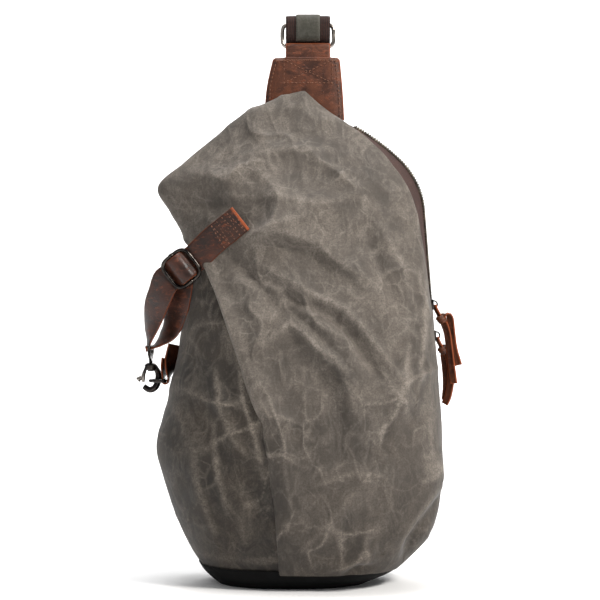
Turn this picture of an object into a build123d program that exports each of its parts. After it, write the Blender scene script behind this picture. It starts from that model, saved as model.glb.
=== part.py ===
"""A single-strap sling bag in waxed canvas and leather, standing on its base.

Millimetres, +Z up, the front faces -Y and +X is to the right of someone looking at the front.
The origin is in the middle of the flat foot of the base, on the surface that the bag stands on.
The cloth shell is a stack of rounded cross-sections, cut into the panels it is sewn from.
"""
from build123d import *
import math
import os

os.makedirs("parts", exist_ok=True)

# ---- driving dimensions -------------------------------------------------------------------
SEAM_Y = 8.0            # the plane of the widest line, where the zipper and the side seams run
ROUND = 2.5             # exponent of the rounded cross-section: 2 is an ellipse
OUTLINE_POINTS = 18
WALL = 3.0              # canvas with its seam allowance and interlining
LINING = 1.0            # cotton lining
PAD = 3.6               # foam pad on the back
AIR = 0.2               # slack between layers that are only sewn at their edges
GAP = 0.05              # sewn edges lie this far apart, so that panels share no face
BASE_TOP = 16.0         # height of the base panel's seam
SLOT_HALF = 9.0         # half the width of the zipper's opening in the shell
LEATHER = 1.8           # oiled cow leather
FIT = 0.3               # running clearance of wires in their loops
BAND_STEP = 1.2         # spacing of the points that a bent strip is drawn through

# Cross-sections of the shell: height, left, right, front, back, how much the left side thins
SECTIONS = [
    (0.0, -72, 58, -50, 34, 0.0),
    (16.0, -87, 89, -66, 42, 0.0),
    (47.0, -104, 115, -76, 44, 0.0),
    (89.0, -119, 123, -80, 45, 0.0),
    (120.0, -125, 123, -80, 45, 0.0),
    (162.0, -114, 121.1, -76, 45, 0.0),
    (225.0, -103, 116.2, -66, 45, 0.0),
    (289.0, -97, 111.2, -50, 43, 0.3),
    (318.0, -111, 108.9, -42, 39, 0.5),
    (340.0, -122, 103.6, -34, 35, 0.6),
    (360.0, -100, 91.1, -25, 29, 0.5),
    (381.0, -75, 66.8, -16, 21, 0.3),
    (402.0, -50, 32, -8, 16.8, 0.1),
    (418.0, -14, 16, -1, 16, 0.0),
]

# The zipper's line: straight up the side, then over the shoulder in two arcs
ZIP_FOOT = (122.0, 150.0)
ZIP_BEND = (108.9, 318.0)
BEND_R = (72.0, 200.0)
BEND_TURN = (42.5, 14.8)    # degrees
TAPE_T = 0.8
CHAIN_W = 4.6               # closed row of teeth, across
CHAIN_T = 2.4               # and through
SLIDERS = {"upper": (238.0, 1), "lower": (211.0, -1)}   # height, and which end leads
SLIDER_L = 9.0
BAIL_R = 3.2                # bail of the slider, out to the middle of its wire
BAIL_WIRE = 1.4
THONG_R = 1.0

STRAP_X = 7.0           # middle of the shoulder strap, the yoke and the rings
STRAP_W = 39.0
STRAP_T = 2.2
STRIPE_W = 21.0
STRIPE_T = 0.8
RING_WIRE = 3.5
RING_IN_W = 41.6
TOP_RING = ((22.85, 464.0), (24.5, 484.5))      # y, z of its lower and upper bars
LOW_RING = ((57.0, 60.0), (57.0, 82.0))
YOKE_Y = TOP_RING[0][0]
LOOP_T = 1.6

SIDE_W = 24.0           # side strap
SIDE_T = 2.0
BUCKLE_AT = (-100.5, -33.0, 268.5)
BUCKLE_WAY = (-0.78, 0.12, -0.61)   # along the strap, towards the hook
BUCKLE_WIRE = 2.6
BUCKLE_L = 26.0
BUCKLE_IN_W = 25.0
HOOK_X = -129.8
EYE_BAR_Z = 202.0
EYE_WIRE = 2.8
D_BAR = (-116.8, 172.0)
D_WIRE = 3.0
D_IN_W = 20.0
D_DEPTH = 13.0


def save(shape, name):
    """Writes one node, keeping only its solids."""
    solids = shape.solids()
    export_step(Compound(children=list(solids)) if len(solids) > 1 else solids[0], f"parts/{name}.step")


def power(value, exponent):
    """A signed power, which keeps a rounded outline symmetric."""
    return math.copysign(abs(value) ** exponent, value)


def section_at(z):
    """The cross-section's sizes at a height, between the listed ones."""
    for low, high in zip(SECTIONS, SECTIONS[1:]):
        if z <= high[0]:
            share = (z - low[0]) / (high[0] - low[0])
            return [a + share * (b - a) for a, b in zip(low, high)]
    return list(SECTIONS[-1])


def front_y(x, z):
    """The y of the shell's front at a point of the front view."""
    _, left, right, front, _, thin = section_at(z)
    across = min(1.0, max(-1.0, (x - (left + right) / 2) / ((right - left) / 2)))
    depth = (SEAM_Y - front) * (1 - abs(across) ** ROUND) ** (1 / ROUND)
    return SEAM_Y - depth * (1 - thin * min(0.0, across) ** 2)


def cross_section(row, inset):
    """A closed rounded outline, pulled in by inset all round."""
    z, left, right, front, back, thin = row
    z = min(max(z, inset), SECTIONS[-1][0] - inset)
    middle, half = (left + right) / 2, (right - left) / 2 - inset
    points = []
    for k in range(OUTLINE_POINTS):
        turn = 2 * math.pi * k / OUTLINE_POINTS
        across, through = power(math.cos(turn), 2 / ROUND), power(math.sin(turn), 2 / ROUND)
        depth = (back - SEAM_Y if through > 0 else SEAM_Y - front) - inset
        depth *= 1 - thin * min(0.0, across) ** 2
        points.append(Vector(middle + half * across, SEAM_Y + depth * through, z))
    return Face(Wire(Edge.make_spline(points, periodic=True)))


def body(inset):
    """The filled bag, pulled in by inset."""
    return loft([cross_section(row, inset) for row in SECTIONS], ruled=True)


def slab(y_low, y_high, z_low, z_high, x_low=-200.0, x_high=200.0):
    """A box between six planes."""
    middle = ((x_low + x_high) / 2, (y_low + y_high) / 2, (z_low + z_high) / 2)
    return Pos(*middle) * Box(x_high - x_low, y_high - y_low, z_high - z_low)


def band(points, thick, low, high, shift=0.0, first=0, last=None):
    """A strip of even thickness along a smooth line of the side view, drawn out from low to high.

    shift moves it off the line, and first and last keep only the part between two of the points.
    """
    line = Spline(*[(low, y, z) for y, z in points])
    steps = [0.0]
    for one, two in zip(points, points[1:]):
        steps.append(steps[-1] + math.dist(one, two))
    start = steps[first] / steps[-1]
    end = steps[-1 if last is None else last] / steps[-1]
    count = int(line.length * (end - start) / BAND_STEP)
    edges = []
    for off in (shift - thick / 2, shift + thick / 2):
        shares = [start + (end - start) * k / count for k in range(count + 1)]
        edges.append(Spline(*[(line @ t) + (line % t).cross(Vector(1, 0, 0)) * off for t in shares]))
    ends = [Line(edges[0] @ t, edges[1] @ t) for t in (0, 1)]
    return extrude(Face(Wire(edges + ends)), high - low, dir=(1, 0, 0))


def ribbon(stations, width, thick):
    """A strip through (point, width direction) stations, which may turn and twist."""
    faces = []
    centres = [Vector(*s[0]) for s in stations]
    for k, (_, across) in enumerate(stations):
        way = (centres[min(k + 1, len(centres) - 1)] - centres[max(k - 1, 0)]).normalized()
        across = Vector(*across)
        across = (across - way * across.dot(way)).normalized()
        up = way.cross(across)
        corners = [centres[k] + across * (a * width / 2) + up * (b * thick / 2)
                   for a, b in ((-1, -1), (1, -1), (1, 1), (-1, 1))]
        faces.append(Face(Wire.make_polygon(corners, close=True)))
    return loft(faces, ruled=True)


def wire_loop(corners, radius, wire):
    """A closed frame of round wire through rounded corners."""
    path = FilletPolyline(*corners, radius=radius, close=True)
    start = path @ 0.0
    section = Plane(origin=start, z_dir=path % 0.0) * Circle(wire / 2)
    return sweep(section, path=path)


def rod(start, end, radius):
    """A round bar between two points."""
    start, end = Vector(*start), Vector(*end)
    return extrude(Plane(origin=start, z_dir=end - start) * Circle(radius), (end - start).length)


# ---- the zipper's line --------------------------------------------------------------------
LEAN = math.degrees(math.atan2(ZIP_FOOT[0] - ZIP_BEND[0], ZIP_BEND[1] - ZIP_FOOT[1]))
TURNS = (LEAN, LEAN + BEND_TURN[0], LEAN + sum(BEND_TURN))


def beside(point, degrees, distance):
    """A point of the front view, moved in a direction given in degrees above +X."""
    turn = math.radians(degrees)
    return point[0] + distance * math.cos(turn), point[1] + distance * math.sin(turn)


CENTRE_1 = beside(ZIP_BEND, LEAN, -BEND_R[0])
CENTRE_2 = beside(CENTRE_1, TURNS[1], BEND_R[0] - BEND_R[1])


def on_line(z, off=0.0):
    """A point of the zipper's straight part at height z, off outwards."""
    share = (z - ZIP_FOOT[1]) / (ZIP_BEND[1] - ZIP_FOOT[1])
    x = ZIP_FOOT[0] + share * (ZIP_BEND[0] - ZIP_FOOT[0])
    return beside((x, z), LEAN, off)


def zip_band(low, high, y_low, y_high, foot_z=ZIP_FOOT[1], cut=0.0):
    """A band along the zipper's line, from low to high outwards and from y_low to y_high."""
    last = TURNS[2] - cut
    sides = []
    for off in (low, high):
        turns = ((CENTRE_1, BEND_R[0] + off, TURNS[0], TURNS[1]),
                 (CENTRE_2, BEND_R[1] + off, TURNS[1], last))
        foot, bend = on_line(foot_z, off), beside(ZIP_BEND, LEAN, off)
        edges = [Line((foot[0], y_low, foot[1]), (bend[0], y_low, bend[1]))]
        for centre, radius, start, end in turns:
            points = [beside(centre, a, radius) for a in (start, (start + end) / 2, end)]
            edges.append(ThreePointArc(*[(p[0], y_low, p[1]) for p in points]))
        sides.append(edges)
    ends = [Line(sides[0][0] @ 0, sides[1][0] @ 0), Line(sides[0][-1] @ 1, sides[1][-1] @ 1)]
    return extrude(Face(Wire(sides[0] + sides[1] + ends)), y_high - y_low, dir=(0, 1, 0))


# ---- the cloth shell ----------------------------------------------------------------------
EDGE_F, EDGE_B = SEAM_Y - SLOT_HALF, SEAM_Y + SLOT_HALF
opening = zip_band(-14, 30, EDGE_F, EDGE_B)
shell = body(0.0) - body(WALL) - opening
save(shell & slab(-200, EDGE_F - GAP, BASE_TOP, 500), "front_panel")
save(shell & slab(EDGE_B + GAP, 200, BASE_TOP, 500), "back_panel")
gussets = shell & slab(EDGE_F, EDGE_B, BASE_TOP, 500)
save(gussets & slab(-200, 200, 0, 500, x_high=44.0), "left_gusset")
save(gussets & slab(-200, 200, 0, ZIP_FOOT[1] + 20, x_low=60.0), "right_gusset")
save(shell & slab(-200, 200, -1, BASE_TOP - GAP), "base_panel")
lining = body(WALL + AIR) - body(WALL + AIR + LINING) - opening
save(lining, "lining")
save(slab(-26, 20, 4.8, 6.8, -44, 32), "base_stiffener")

POCKET = dict(x_low=-45.0, x_high=45.0)
pocket = slab(34.0, 35.0, 130, 250, **POCKET) + slab(34.0, 36.6, 130, 131.5, **POCKET)
pocket += slab(34.0, 36.6, 130, 250, -45, -43.5) + slab(34.0, 36.6, 130, 250, 43.5, 45)
save(pocket, "inner_pocket")
pad = body(-PAD) - body(-AIR)
save(pad & slab(EDGE_B, 200, 96, 300, -66, 72), "back_pad")

# ---- the zipper ---------------------------------------------------------------------------
CHAIN_OFF = -1.6
save(zip_band(-2.0, -1.2, EDGE_F + GAP, SEAM_Y - CHAIN_W / 2 - GAP, cut=0.3), "zip_tape_front")
save(zip_band(-2.0, -1.2, SEAM_Y + CHAIN_W / 2 + GAP, EDGE_B - GAP, cut=0.3), "zip_tape_back")
half = CHAIN_T / 2
for side, y_low in (("front", SEAM_Y - CHAIN_W / 2), ("back", SEAM_Y + GAP / 2)):
    row = zip_band(CHAIN_OFF - half, CHAIN_OFF + half, y_low, y_low + CHAIN_W / 2 - GAP / 2, 157.0, 1.0)
    save(row, f"zip_teeth_{side}")


def straight_block(z_low, z_high, off_low, off_high, y_low, y_high):
    """A block lying along the zipper's straight part."""
    corners = [on_line(z_low, off_low), on_line(z_high, off_low),
               on_line(z_high, off_high), on_line(z_low, off_high)]
    outline = Wire.make_polygon([Vector(x, y_low, z) for x, z in corners], close=True)
    return extrude(Face(outline), y_high - y_low, dir=(0, 1, 0))


save(straight_block(151.5, 156.5, -1.15, 0.0, SEAM_Y - 3.2, SEAM_Y + 3.2), "zip_bottom_stop")


def make_slider(name, z, lead):
    """One slider: a channel over the teeth, with the bail that its pull hangs from."""
    low, high = z - SLIDER_L / 2, z + SLIDER_L / 2
    top = CHAIN_OFF + half + FIT
    wall = SEAM_Y - CHAIN_W / 2 - FIT - 1.0
    reach = 2 * SEAM_Y - wall
    slider = straight_block(low, high, top, top + 1.2, wall, reach)
    slider += straight_block(low, high, -0.8, top + 0.6, wall, wall + 1.0)
    slider += straight_block(low, high, -0.8, top + 0.6, reach - 1.0, reach)
    slider = fillet(slider.edges().filter_by(Axis.Y).group_by(Axis.X)[-1], 0.5)
    save(slider, f"{name}_slider")
    x, height = on_line(z, top + 1.2)
    bail = Pos(x, SEAM_Y, height) * Rot(90, 0, 0) * Torus(BAIL_R, BAIL_WIRE / 2)
    clear = straight_block(low - 5, high + 5, -20, top + 1.2 + GAP, -50, 50)
    save(bail - clear, f"{name}_bail")
    return x + 1.3, height - 0.2


def rod_strip(start, end, y):
    """A flat leather tail from start to end in the front view."""
    across = (0, 1, 0)
    return ribbon([((start[0], y, start[1]), across), ((end[0], y, end[1]), across)], 4.0, 2.0)


def make_thong(name, at, knot, knot_y, tails):
    """A leather thong through the bail: a bend, two legs, a knot and its tails."""
    x, z = at
    leg = 2.4
    thong = rod((x, SEAM_Y - leg, z), (x, SEAM_Y + leg, z), THONG_R)
    for side in (-leg, leg):
        bend = (x + 1.6, SEAM_Y + side, z - 6.8)
        thong += Pos(x, SEAM_Y + side, z) * Sphere(THONG_R)
        thong += rod((x, SEAM_Y + side, z), bend, THONG_R) + Pos(*bend) * Sphere(THONG_R)
        thong += rod(bend, (knot[0], knot_y, knot[1]), THONG_R)
    thong += Pos(knot[0], knot_y, knot[1]) * Rot(0, 20, 0) * fillet(Box(6.5, 5, 7).edges(), 1.5)
    for start, end in tails:
        thong += rod_strip(start, end, knot_y)
    save(thong, name)


thong_axis = {name: make_slider(name, *place) for name, place in SLIDERS.items()}
make_thong("upper_thong", thong_axis["upper"], (122.6, 225.4), 2.2,
           [((123.5, 225.5), (130.5, 219.0)), ((130.0, 220.0), (138.0, 185.0)),
            ((128.0, 221.0), (133.5, 169.0))])
make_thong("lower_thong", thong_axis["lower"], (124.6, 198.4), SEAM_Y,
           [((126.0, 198.0), (130.5, 180.0)), ((130.5, 181.0), (126.5, 152.0))])

# ---- the yoke and the top ring ------------------------------------------------------------
YOKE_CORNERS = [(-23.5, 454.5), (34.8, 454.5), (37.5, 425.0), (39.0, 399.5), (4.0, 401.0), (-31.3, 410.0),
                (-29.0, 430.0)]
yoke_outline = Face(Wire.make_polygon([Vector(x, 0, z) for x, z in YOKE_CORNERS], close=True))
SPREAD = RING_WIRE / 2 + FIT + LOOP_T + AIR
save(extrude(Pos(0, YOKE_Y - SPREAD - LEATHER, 0) * yoke_outline, LEATHER, dir=(0, 1, 0)), "yoke_front")
save(extrude(Pos(0, YOKE_Y + SPREAD, 0) * yoke_outline, LEATHER, dir=(0, 1, 0)), "yoke_back")


def wrap_points(centre, radius, start, end, count=7):
    """Points on an arc of the side view, in degrees above +Y."""
    turns = [math.radians(start + (end - start) * k / (count - 1)) for k in range(count)]
    return [(centre[0] + radius * math.cos(t), centre[1] + radius * math.sin(t)) for t in turns]


def hairpin(centre, leg_z, name, low, high):
    """A leather loop round a bar, with two straight legs."""
    inner, outer = RING_WIRE / 2 + FIT, RING_WIRE / 2 + FIT + LOOP_T
    y, z = centre
    tube = Plane.YZ * (Pos(y, z) * Circle(outer))
    legs = Plane.YZ * (Pos(y, (z + leg_z) / 2) * Rectangle(2 * outer, abs(z - leg_z)))
    hole = Plane.YZ * (Pos(y, z) * Circle(inner))
    slot = Plane.YZ * (Pos(y, (z + leg_z) / 2) * Rectangle(2 * inner, abs(z - leg_z)))
    save(Pos(low, 0, 0) * extrude(tube + legs - hole - slot, high - low, dir=(1, 0, 0)), name)


hairpin(TOP_RING[0], 415.0, "ring_loop", STRAP_X - 19.5, STRAP_X + 19.5)
save(slab(YOKE_Y - 1.95, YOKE_Y + 1.95, 405.0, 459.0, STRAP_X - 19, STRAP_X + 19), "yoke_core")


def rectangular_ring(bars, name):
    """A flat rectangular ring of round wire between its lower and upper bars."""
    half_w = (RING_IN_W + RING_WIRE) / 2
    (y0, z0), (y1, z1) = bars
    corners = [(STRAP_X - half_w, y0, z0), (STRAP_X + half_w, y0, z0),
               (STRAP_X + half_w, y1, z1), (STRAP_X - half_w, y1, z1)]
    save(wire_loop(corners, 4.0, RING_WIRE), name)


rectangular_ring(TOP_RING, "top_ring")
rectangular_ring(LOW_RING, "lower_ring")

# ---- the shoulder strap -------------------------------------------------------------------
SLACK = 4.4                 # the strap's middle line rounds the bars this far out
short_end = [(31.0, 438.0), (30.9, 455.0), (29.7, 464.0), (26.4, 470.6), (21.8, 474.0), (20.0, 479.0)]
over_top = wrap_points(TOP_RING[1], SLACK, 180, 0, 5)
down_back = [(30.3, 478.0), (33.0, 470.0), (34.2, 460.0), (34.6, 440.0), (38.0, 415.0), (47.0, 370.0),
             (53.0, 325.0)]
straight = [(54.0, 290.0), (54.0, 262.0), (54.0, 230.0), (54.0, 190.0)]
upper_line = short_end + over_top + down_back + straight
lower_line = [(54.0, 190.0), (54.0, 160.0), (54.0, 130.0), (53.4, 112.0), (53.0, 95.0)]
lower_line += wrap_points(LOW_RING[1], SLACK, 180, 360, 5) + [(60.0, 95.0), (58.2, 110.0), (58.0, 128.0)]
STRAP_LOW, STRAP_HIGH = STRAP_X - STRAP_W / 2, STRAP_X + STRAP_W / 2
webbing = band(upper_line, STRAP_T, STRAP_LOW, STRAP_HIGH)
webbing += band(lower_line, STRAP_T, STRAP_LOW, STRAP_HIGH)
save(webbing, "shoulder_strap")

STRIPE_OFF = STRAP_T / 2 + STRIPE_T / 2 + GAP
STRIPE_SIDE = -1.0          # the outside of the bend over the ring
stripe = band(upper_line, STRIPE_T, STRAP_X - STRIPE_W / 2, STRAP_X + STRIPE_W / 2,
              STRIPE_SIDE * STRIPE_OFF, len(short_end) - 1, len(upper_line) - 3)
save(stripe, "strap_stripe")

# the tri-glide that sets the strap's length
ADJ_Z, ADJ_H, ADJ_R = 205.0, 24.0, 1.4
front_bar_y = 54.0 - STRAP_T / 2 - FIT - ADJ_R
back_bar_y = 54.0 + STRAP_T / 2 + FIT + ADJ_R
adjuster = None
for x in (STRAP_X - STRAP_W / 2 - 2.0, STRAP_X + STRAP_W / 2 + 2.0):
    cheek = Pos(x, 54.0, ADJ_Z) * fillet(Box(2.4, 8.4, ADJ_H).edges().filter_by(Axis.X), 2.0)
    adjuster = cheek if adjuster is None else adjuster + cheek
for y, z in ((front_bar_y, ADJ_Z - 9), (front_bar_y, ADJ_Z + 9), (back_bar_y, ADJ_Z)):
    adjuster += rod((STRAP_LOW - 2.0, y, z), (STRAP_HIGH + 2.0, y, z), ADJ_R)
save(adjuster, "strap_adjuster")

# the tab that holds the lower ring, sewn to the back
tab_line = [(46.4, 30.0), (47.0, 42.0), (50.5, 54.0)]
tab_line += wrap_points(LOW_RING[0], RING_WIRE / 2 + FIT + LOOP_T / 2, 200, -20, 6)
tab_line += [(56.0, 52.0), (52.0, 42.0), (49.0, 30.0)]
save(band(tab_line, LOOP_T, STRAP_LOW, STRAP_HIGH), "lower_tab")

# ---- the side strap, its buckle and its hook ----------------------------------------------
WAY = Vector(*BUCKLE_WAY).normalized()
ACROSS = (Vector(-0.61, 0, 0.79) - WAY * Vector(-0.61, 0, 0.79).dot(WAY)).normalized()
UP = WAY.cross(ACROSS)
if UP.Y > 0:
    UP = UP * -1.0
CENTRE = Vector(*BUCKLE_AT)


def at_buckle(along, up, across=0.0):
    """A point in the buckle's own axes."""
    return CENTRE + WAY * along + UP * up + ACROSS * across


half_l, half_w = BUCKLE_L / 2, (BUCKLE_IN_W + BUCKLE_WIRE) / 2
buckle_corners = [tuple(at_buckle(-half_l, 0, -half_w)), tuple(at_buckle(half_l, 0, -half_w)),
                  tuple(at_buckle(half_l, 0, half_w)), tuple(at_buckle(-half_l, 0, half_w))]
save(wire_loop(buckle_corners, 3.0, BUCKLE_WIRE), "buckle_frame")
inside_w = BUCKLE_IN_W / 2 - GAP
save(rod(at_buckle(0, 0, -inside_w), at_buckle(0, 0, inside_w), BUCKLE_WIRE / 2), "buckle_bar")

bar_r = BUCKLE_WIRE / 2
under = -(bar_r + FIT + SIDE_T / 2)
sleeve = bar_r + FIT + SIDE_T / 2
over = bar_r + FIT + SIDE_T + FIT + SIDE_T / 2
flat = tuple(ACROSS)


def on_front(x, z, lift=SIDE_T / 2 + 2.0):
    """A point just off the shell's front, clear of it over the strap's width."""
    spread = [front_y(x + ACROSS.X * w, z + ACROSS.Z * w) for w in (-SIDE_W / 2, 0, SIDE_W / 2)]
    return (x, min(spread) - lift, z)


EYE = (HOOK_X, SEAM_Y, EYE_BAR_Z)
eye_turn = EYE_WIRE / 2 + FIT + SIDE_T / 2
facing = (0, 1, 0)
RISE = [(-17.0, -2.6), (-half_l, -3.0), (-10.2, -2.9), (-6.6, 1.2), (-4.4, 3.7), (0.0, over),
        (4.4, 3.7), (6.6, 1.2), (10.2, -2.9), (half_l, -3.0)]
stations = [(on_front(-50.0, 310.5), flat), (on_front(-62.0, 301.0), flat), (on_front(-74.0, 291.5), flat)]
stations += [(tuple(at_buckle(*place)), flat) for place in RISE]
stations += [(tuple(at_buckle(half_l + 5, under)), (-0.75, 0.1, 0.6)),
             ((-124.5, -22.0, 246.0), (-0.8, 0.6, 0.3)), ((-130.5, -13.0, 237.0), (-0.45, 0.9, 0.1)),
             ((-134.0, -4.0, 227.0), (-0.1, 1, 0)),
             ((EYE[0] - 3.6, 4.0, EYE[2] + 11.0), facing)]
for turn in range(180, 361, 30):
    away = math.radians(turn)
    place = (EYE[0] + eye_turn * math.cos(away), SEAM_Y, EYE[2] + eye_turn * math.sin(away))
    stations.append((place, facing))
stations += [((EYE[0] + 7.5, 6.0, EYE[2] + 10.0), facing),
             ((-115.0, 0.0, 223.0), (-0.1, 1, 0)),
             ((-108.5, -8.0, 234.5), (-0.4, 0.9, 0.1)), ((-104.5, -17.0, 246.0), (-0.75, 0.5, 0.5)),
             (tuple(at_buckle(2.5, -9.0)), (-0.75, 0.1, 0.6)), (tuple(at_buckle(-sleeve, -3.5)), flat)]
for turn in range(180, 29, -30):
    away = math.radians(turn)
    stations.append((tuple(at_buckle(sleeve * math.cos(away), sleeve * math.sin(away))), flat))
save(ribbon(stations, SIDE_W, SIDE_T), "side_strap")
patch = [(on_front(-51.5, 309.3, SIDE_T + 2.6), flat), (on_front(-61.5, 301.4, SIDE_T + 2.6), flat),
         (on_front(-71.0, 293.9, SIDE_T + 2.6), flat)]
save(ribbon(patch, SIDE_W - 1.0, 0.8), "strap_patch")

# the hook: a swivelling eye, the body with its claw, and the sprung gate
eye_low, eye_half = 190.0, SIDE_W / 2 + 4.0
eye = wire_loop([(HOOK_X, SEAM_Y - eye_half, EYE_BAR_Z), (HOOK_X, SEAM_Y + eye_half, EYE_BAR_Z),
                 (HOOK_X, SEAM_Y + eye_half, EYE_BAR_Z - 7), (HOOK_X, SEAM_Y + 4.0, eye_low),
                 (HOOK_X, SEAM_Y - 4.0, eye_low), (HOOK_X, SEAM_Y - eye_half, EYE_BAR_Z - 7)], 1.6, EYE_WIRE)
eye += rod((HOOK_X, SEAM_Y, eye_low), (HOOK_X, SEAM_Y, 180.6), 1.6)
eye += rod((HOOK_X, SEAM_Y, 181.6), (HOOK_X, SEAM_Y, 180.0), 2.6)
save(eye, "hook_eye")
collar = rod((HOOK_X, SEAM_Y, 182.0), (HOOK_X, SEAM_Y, 186.6), 4.4)
collar -= rod((HOOK_X, SEAM_Y, 181.0), (HOOK_X, SEAM_Y, 187.0), 1.9)
claw_path = Spline((HOOK_X + 4.2, SEAM_Y, 184.0), (HOOK_X + 6.6, SEAM_Y, 178.0),
                   (HOOK_X + 5.6, SEAM_Y, 167.5), (HOOK_X - 0.6, SEAM_Y, 163.6),
                   (HOOK_X - 6.4, SEAM_Y, 167.0))
claw = sweep(Plane(origin=claw_path @ 0, z_dir=claw_path % 0) * Circle(1.7), path=claw_path)
claw += Pos(*tuple(claw_path @ 1)) * Sphere(1.7)
PIN_X, PIN_Z = HOOK_X - 5.4, 179.4
body_part = collar + claw
for inner, outer in ((-1.3, -2.6), (1.3, 2.6)):
    body_part += rod((PIN_X, SEAM_Y + inner, PIN_Z), (PIN_X, SEAM_Y + outer, PIN_Z), 2.0)
    low_y, high_y = sorted((SEAM_Y + inner, SEAM_Y + outer))
    body_part += slab(low_y, high_y, PIN_Z, 185.0, PIN_X - 2.0, PIN_X + 2.2)
save(body_part, "hook_body")
gate = rod((PIN_X, SEAM_Y - 1.0, PIN_Z), (PIN_X, SEAM_Y + 1.0, PIN_Z), 1.8)
gate += slab(SEAM_Y - 1.0, SEAM_Y + 1.0, 170.2, PIN_Z, PIN_X - 1.7, PIN_X - 0.2)
gate += slab(SEAM_Y - 1.0, SEAM_Y + 1.0, 173.0, 176.0, PIN_X - 3.7, PIN_X - 1.5)
save(gate, "hook_gate")

# the D-ring and its tab on the side seam
d_half = (D_IN_W + D_WIRE) / 2
x, z = D_BAR
d_ring = wire_loop([(x, SEAM_Y - d_half, z), (x, SEAM_Y + d_half, z),
                    (x - D_DEPTH * 0.6, SEAM_Y + d_half, z), (x - D_DEPTH, SEAM_Y + d_half * 0.45, z),
                    (x - D_DEPTH, SEAM_Y - d_half * 0.45, z), (x - D_DEPTH * 0.6, SEAM_Y - d_half, z)],
                   1.6, D_WIRE)
save(d_ring, "side_d_ring")
tab_r = D_WIRE / 2 + FIT + LOOP_T
tab = rod((x, SEAM_Y - 9.0, z), (x, SEAM_Y + 9.0, z), tab_r)
top_z = 202.0
shift = (top_z - z) * 0.1746
leaf = [(x + 1.2, z), (x + tab_r, z), (x + tab_r + shift, top_z), (x + tab_r - LOOP_T + shift, top_z)]
leaf_outline = Wire.make_polygon([Vector(a, SEAM_Y - 9.0, b) for a, b in leaf], close=True)
tab += extrude(Face(leaf_outline), 18.0, dir=(0, 1, 0))
tab -= rod((x, SEAM_Y - 10.0, z), (x, SEAM_Y + 10.0, z), D_WIRE / 2 + FIT)
save(tab, "d_ring_tab")
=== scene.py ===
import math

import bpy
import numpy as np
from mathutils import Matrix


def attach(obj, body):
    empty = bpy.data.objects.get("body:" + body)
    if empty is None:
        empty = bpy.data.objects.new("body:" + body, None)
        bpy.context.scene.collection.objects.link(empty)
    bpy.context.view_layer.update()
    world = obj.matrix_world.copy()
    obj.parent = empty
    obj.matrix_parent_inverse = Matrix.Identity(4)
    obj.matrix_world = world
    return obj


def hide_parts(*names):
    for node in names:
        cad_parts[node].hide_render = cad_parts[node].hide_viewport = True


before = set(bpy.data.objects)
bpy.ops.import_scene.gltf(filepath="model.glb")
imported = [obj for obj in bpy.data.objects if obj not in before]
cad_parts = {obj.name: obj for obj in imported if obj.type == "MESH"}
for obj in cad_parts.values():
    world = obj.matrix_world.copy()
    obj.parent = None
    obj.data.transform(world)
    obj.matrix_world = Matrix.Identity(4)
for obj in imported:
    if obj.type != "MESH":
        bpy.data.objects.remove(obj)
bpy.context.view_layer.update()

# %% [markdown]
# # A waxed canvas sling bag
# The real bag is sewn from a few panels: a canvas front whose edge laps over a side panel (painted
# darker, as shade), a black base and back, a leather yoke with a ring, a webbing strap, a metal zipper
# and a leather side strap with a clip. The frame already holds each as a plain solid. This script gives
# each its cloth, leather or metal. Lengths are in millimetres until a mesh is made.

MM = 0.001
bag = bpy.data.collections.new("sling bag")
bpy.context.scene.collection.children.link(bag)
print("the frame holds", len(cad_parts), "nodes")

# %% [markdown]
# ## Camera, floor and light
# The bag stands on a white sweep under large soft lamps. A long lens from 1.5 m keeps upright lines
# upright, as a product picture does. The camera looks level, at half the bag's height.

# %% Camera and stage
WIDEST_PLANE, DISTANCE, FIELD = 8.0, 1508.0, 522.0      # mm: seam plane, camera to it, width seen there
camera_data = bpy.data.cameras.new("camera")
camera_data.sensor_width = 36.0
camera_data.lens = camera_data.sensor_width * DISTANCE / FIELD
camera = bpy.data.objects.new("camera", camera_data)
camera.location = (0.0, (WIDEST_PLANE - DISTANCE) * MM, 0.242)
camera.rotation_euler = (math.radians(90), 0, 0)
bpy.context.scene.collection.objects.link(camera)
bpy.context.scene.camera = camera


def lamp(name, place, aim, size, power, colour=(1, 1, 1)):
    """A square soft box at a place, turned so that its face looks at aim."""
    data = bpy.data.lights.new(name, "AREA")
    data.shape, data.size, data.energy, data.color = "SQUARE", size, power, colour
    obj = bpy.data.objects.new(name, data)
    away = np.subtract(place, aim)
    obj.location = place
    obj.rotation_euler = (math.acos(away[2] / np.linalg.norm(away)), 0, math.atan2(away[0], -away[1]))
    bpy.context.scene.collection.objects.link(obj)


lamp("key", (1.15, -0.95, 1.45), (0, 0, 0.25), 0.45, 36.0, (1.0, 0.97, 0.93))
lamp("fill", (-1.3, -1.2, 0.9), (0, 0, 0.22), 1.0, 1.5, (0.95, 0.97, 1.0))
lamp("top", (-0.1, 0.05, 1.7), (0, 0, 0.3), 0.7, 16.0)
lamp("back", (0.2, 1.7, 1.2), (0, 0.5, 0.0), 1.2, 14.0)
lamp("wall", (0.0, 1.5, 1.8), (0.0, 4.0, 0.9), 1.6, 90.0)
world = bpy.data.worlds.new("studio")
world.use_nodes = True
world.node_tree.nodes["Background"].inputs["Color"].default_value = (1.0, 1.0, 1.0, 1.0)
world.node_tree.nodes["Background"].inputs["Strength"].default_value = 0.36
bpy.context.scene.world = world
bpy.context.scene.view_settings.view_transform = "Standard"
print("lens", round(camera_data.lens, 1), "mm, lamps", len(bpy.data.lights))

# %% [markdown]
# ## From a grid of points to a mesh
# Each piece is a surface: a point for each pair of two parameters, kept in one array. Neighbours in
# the array make the faces. Blender takes both arrays whole, which is quick even for a large cloth.

# %% Mesh helpers


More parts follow.
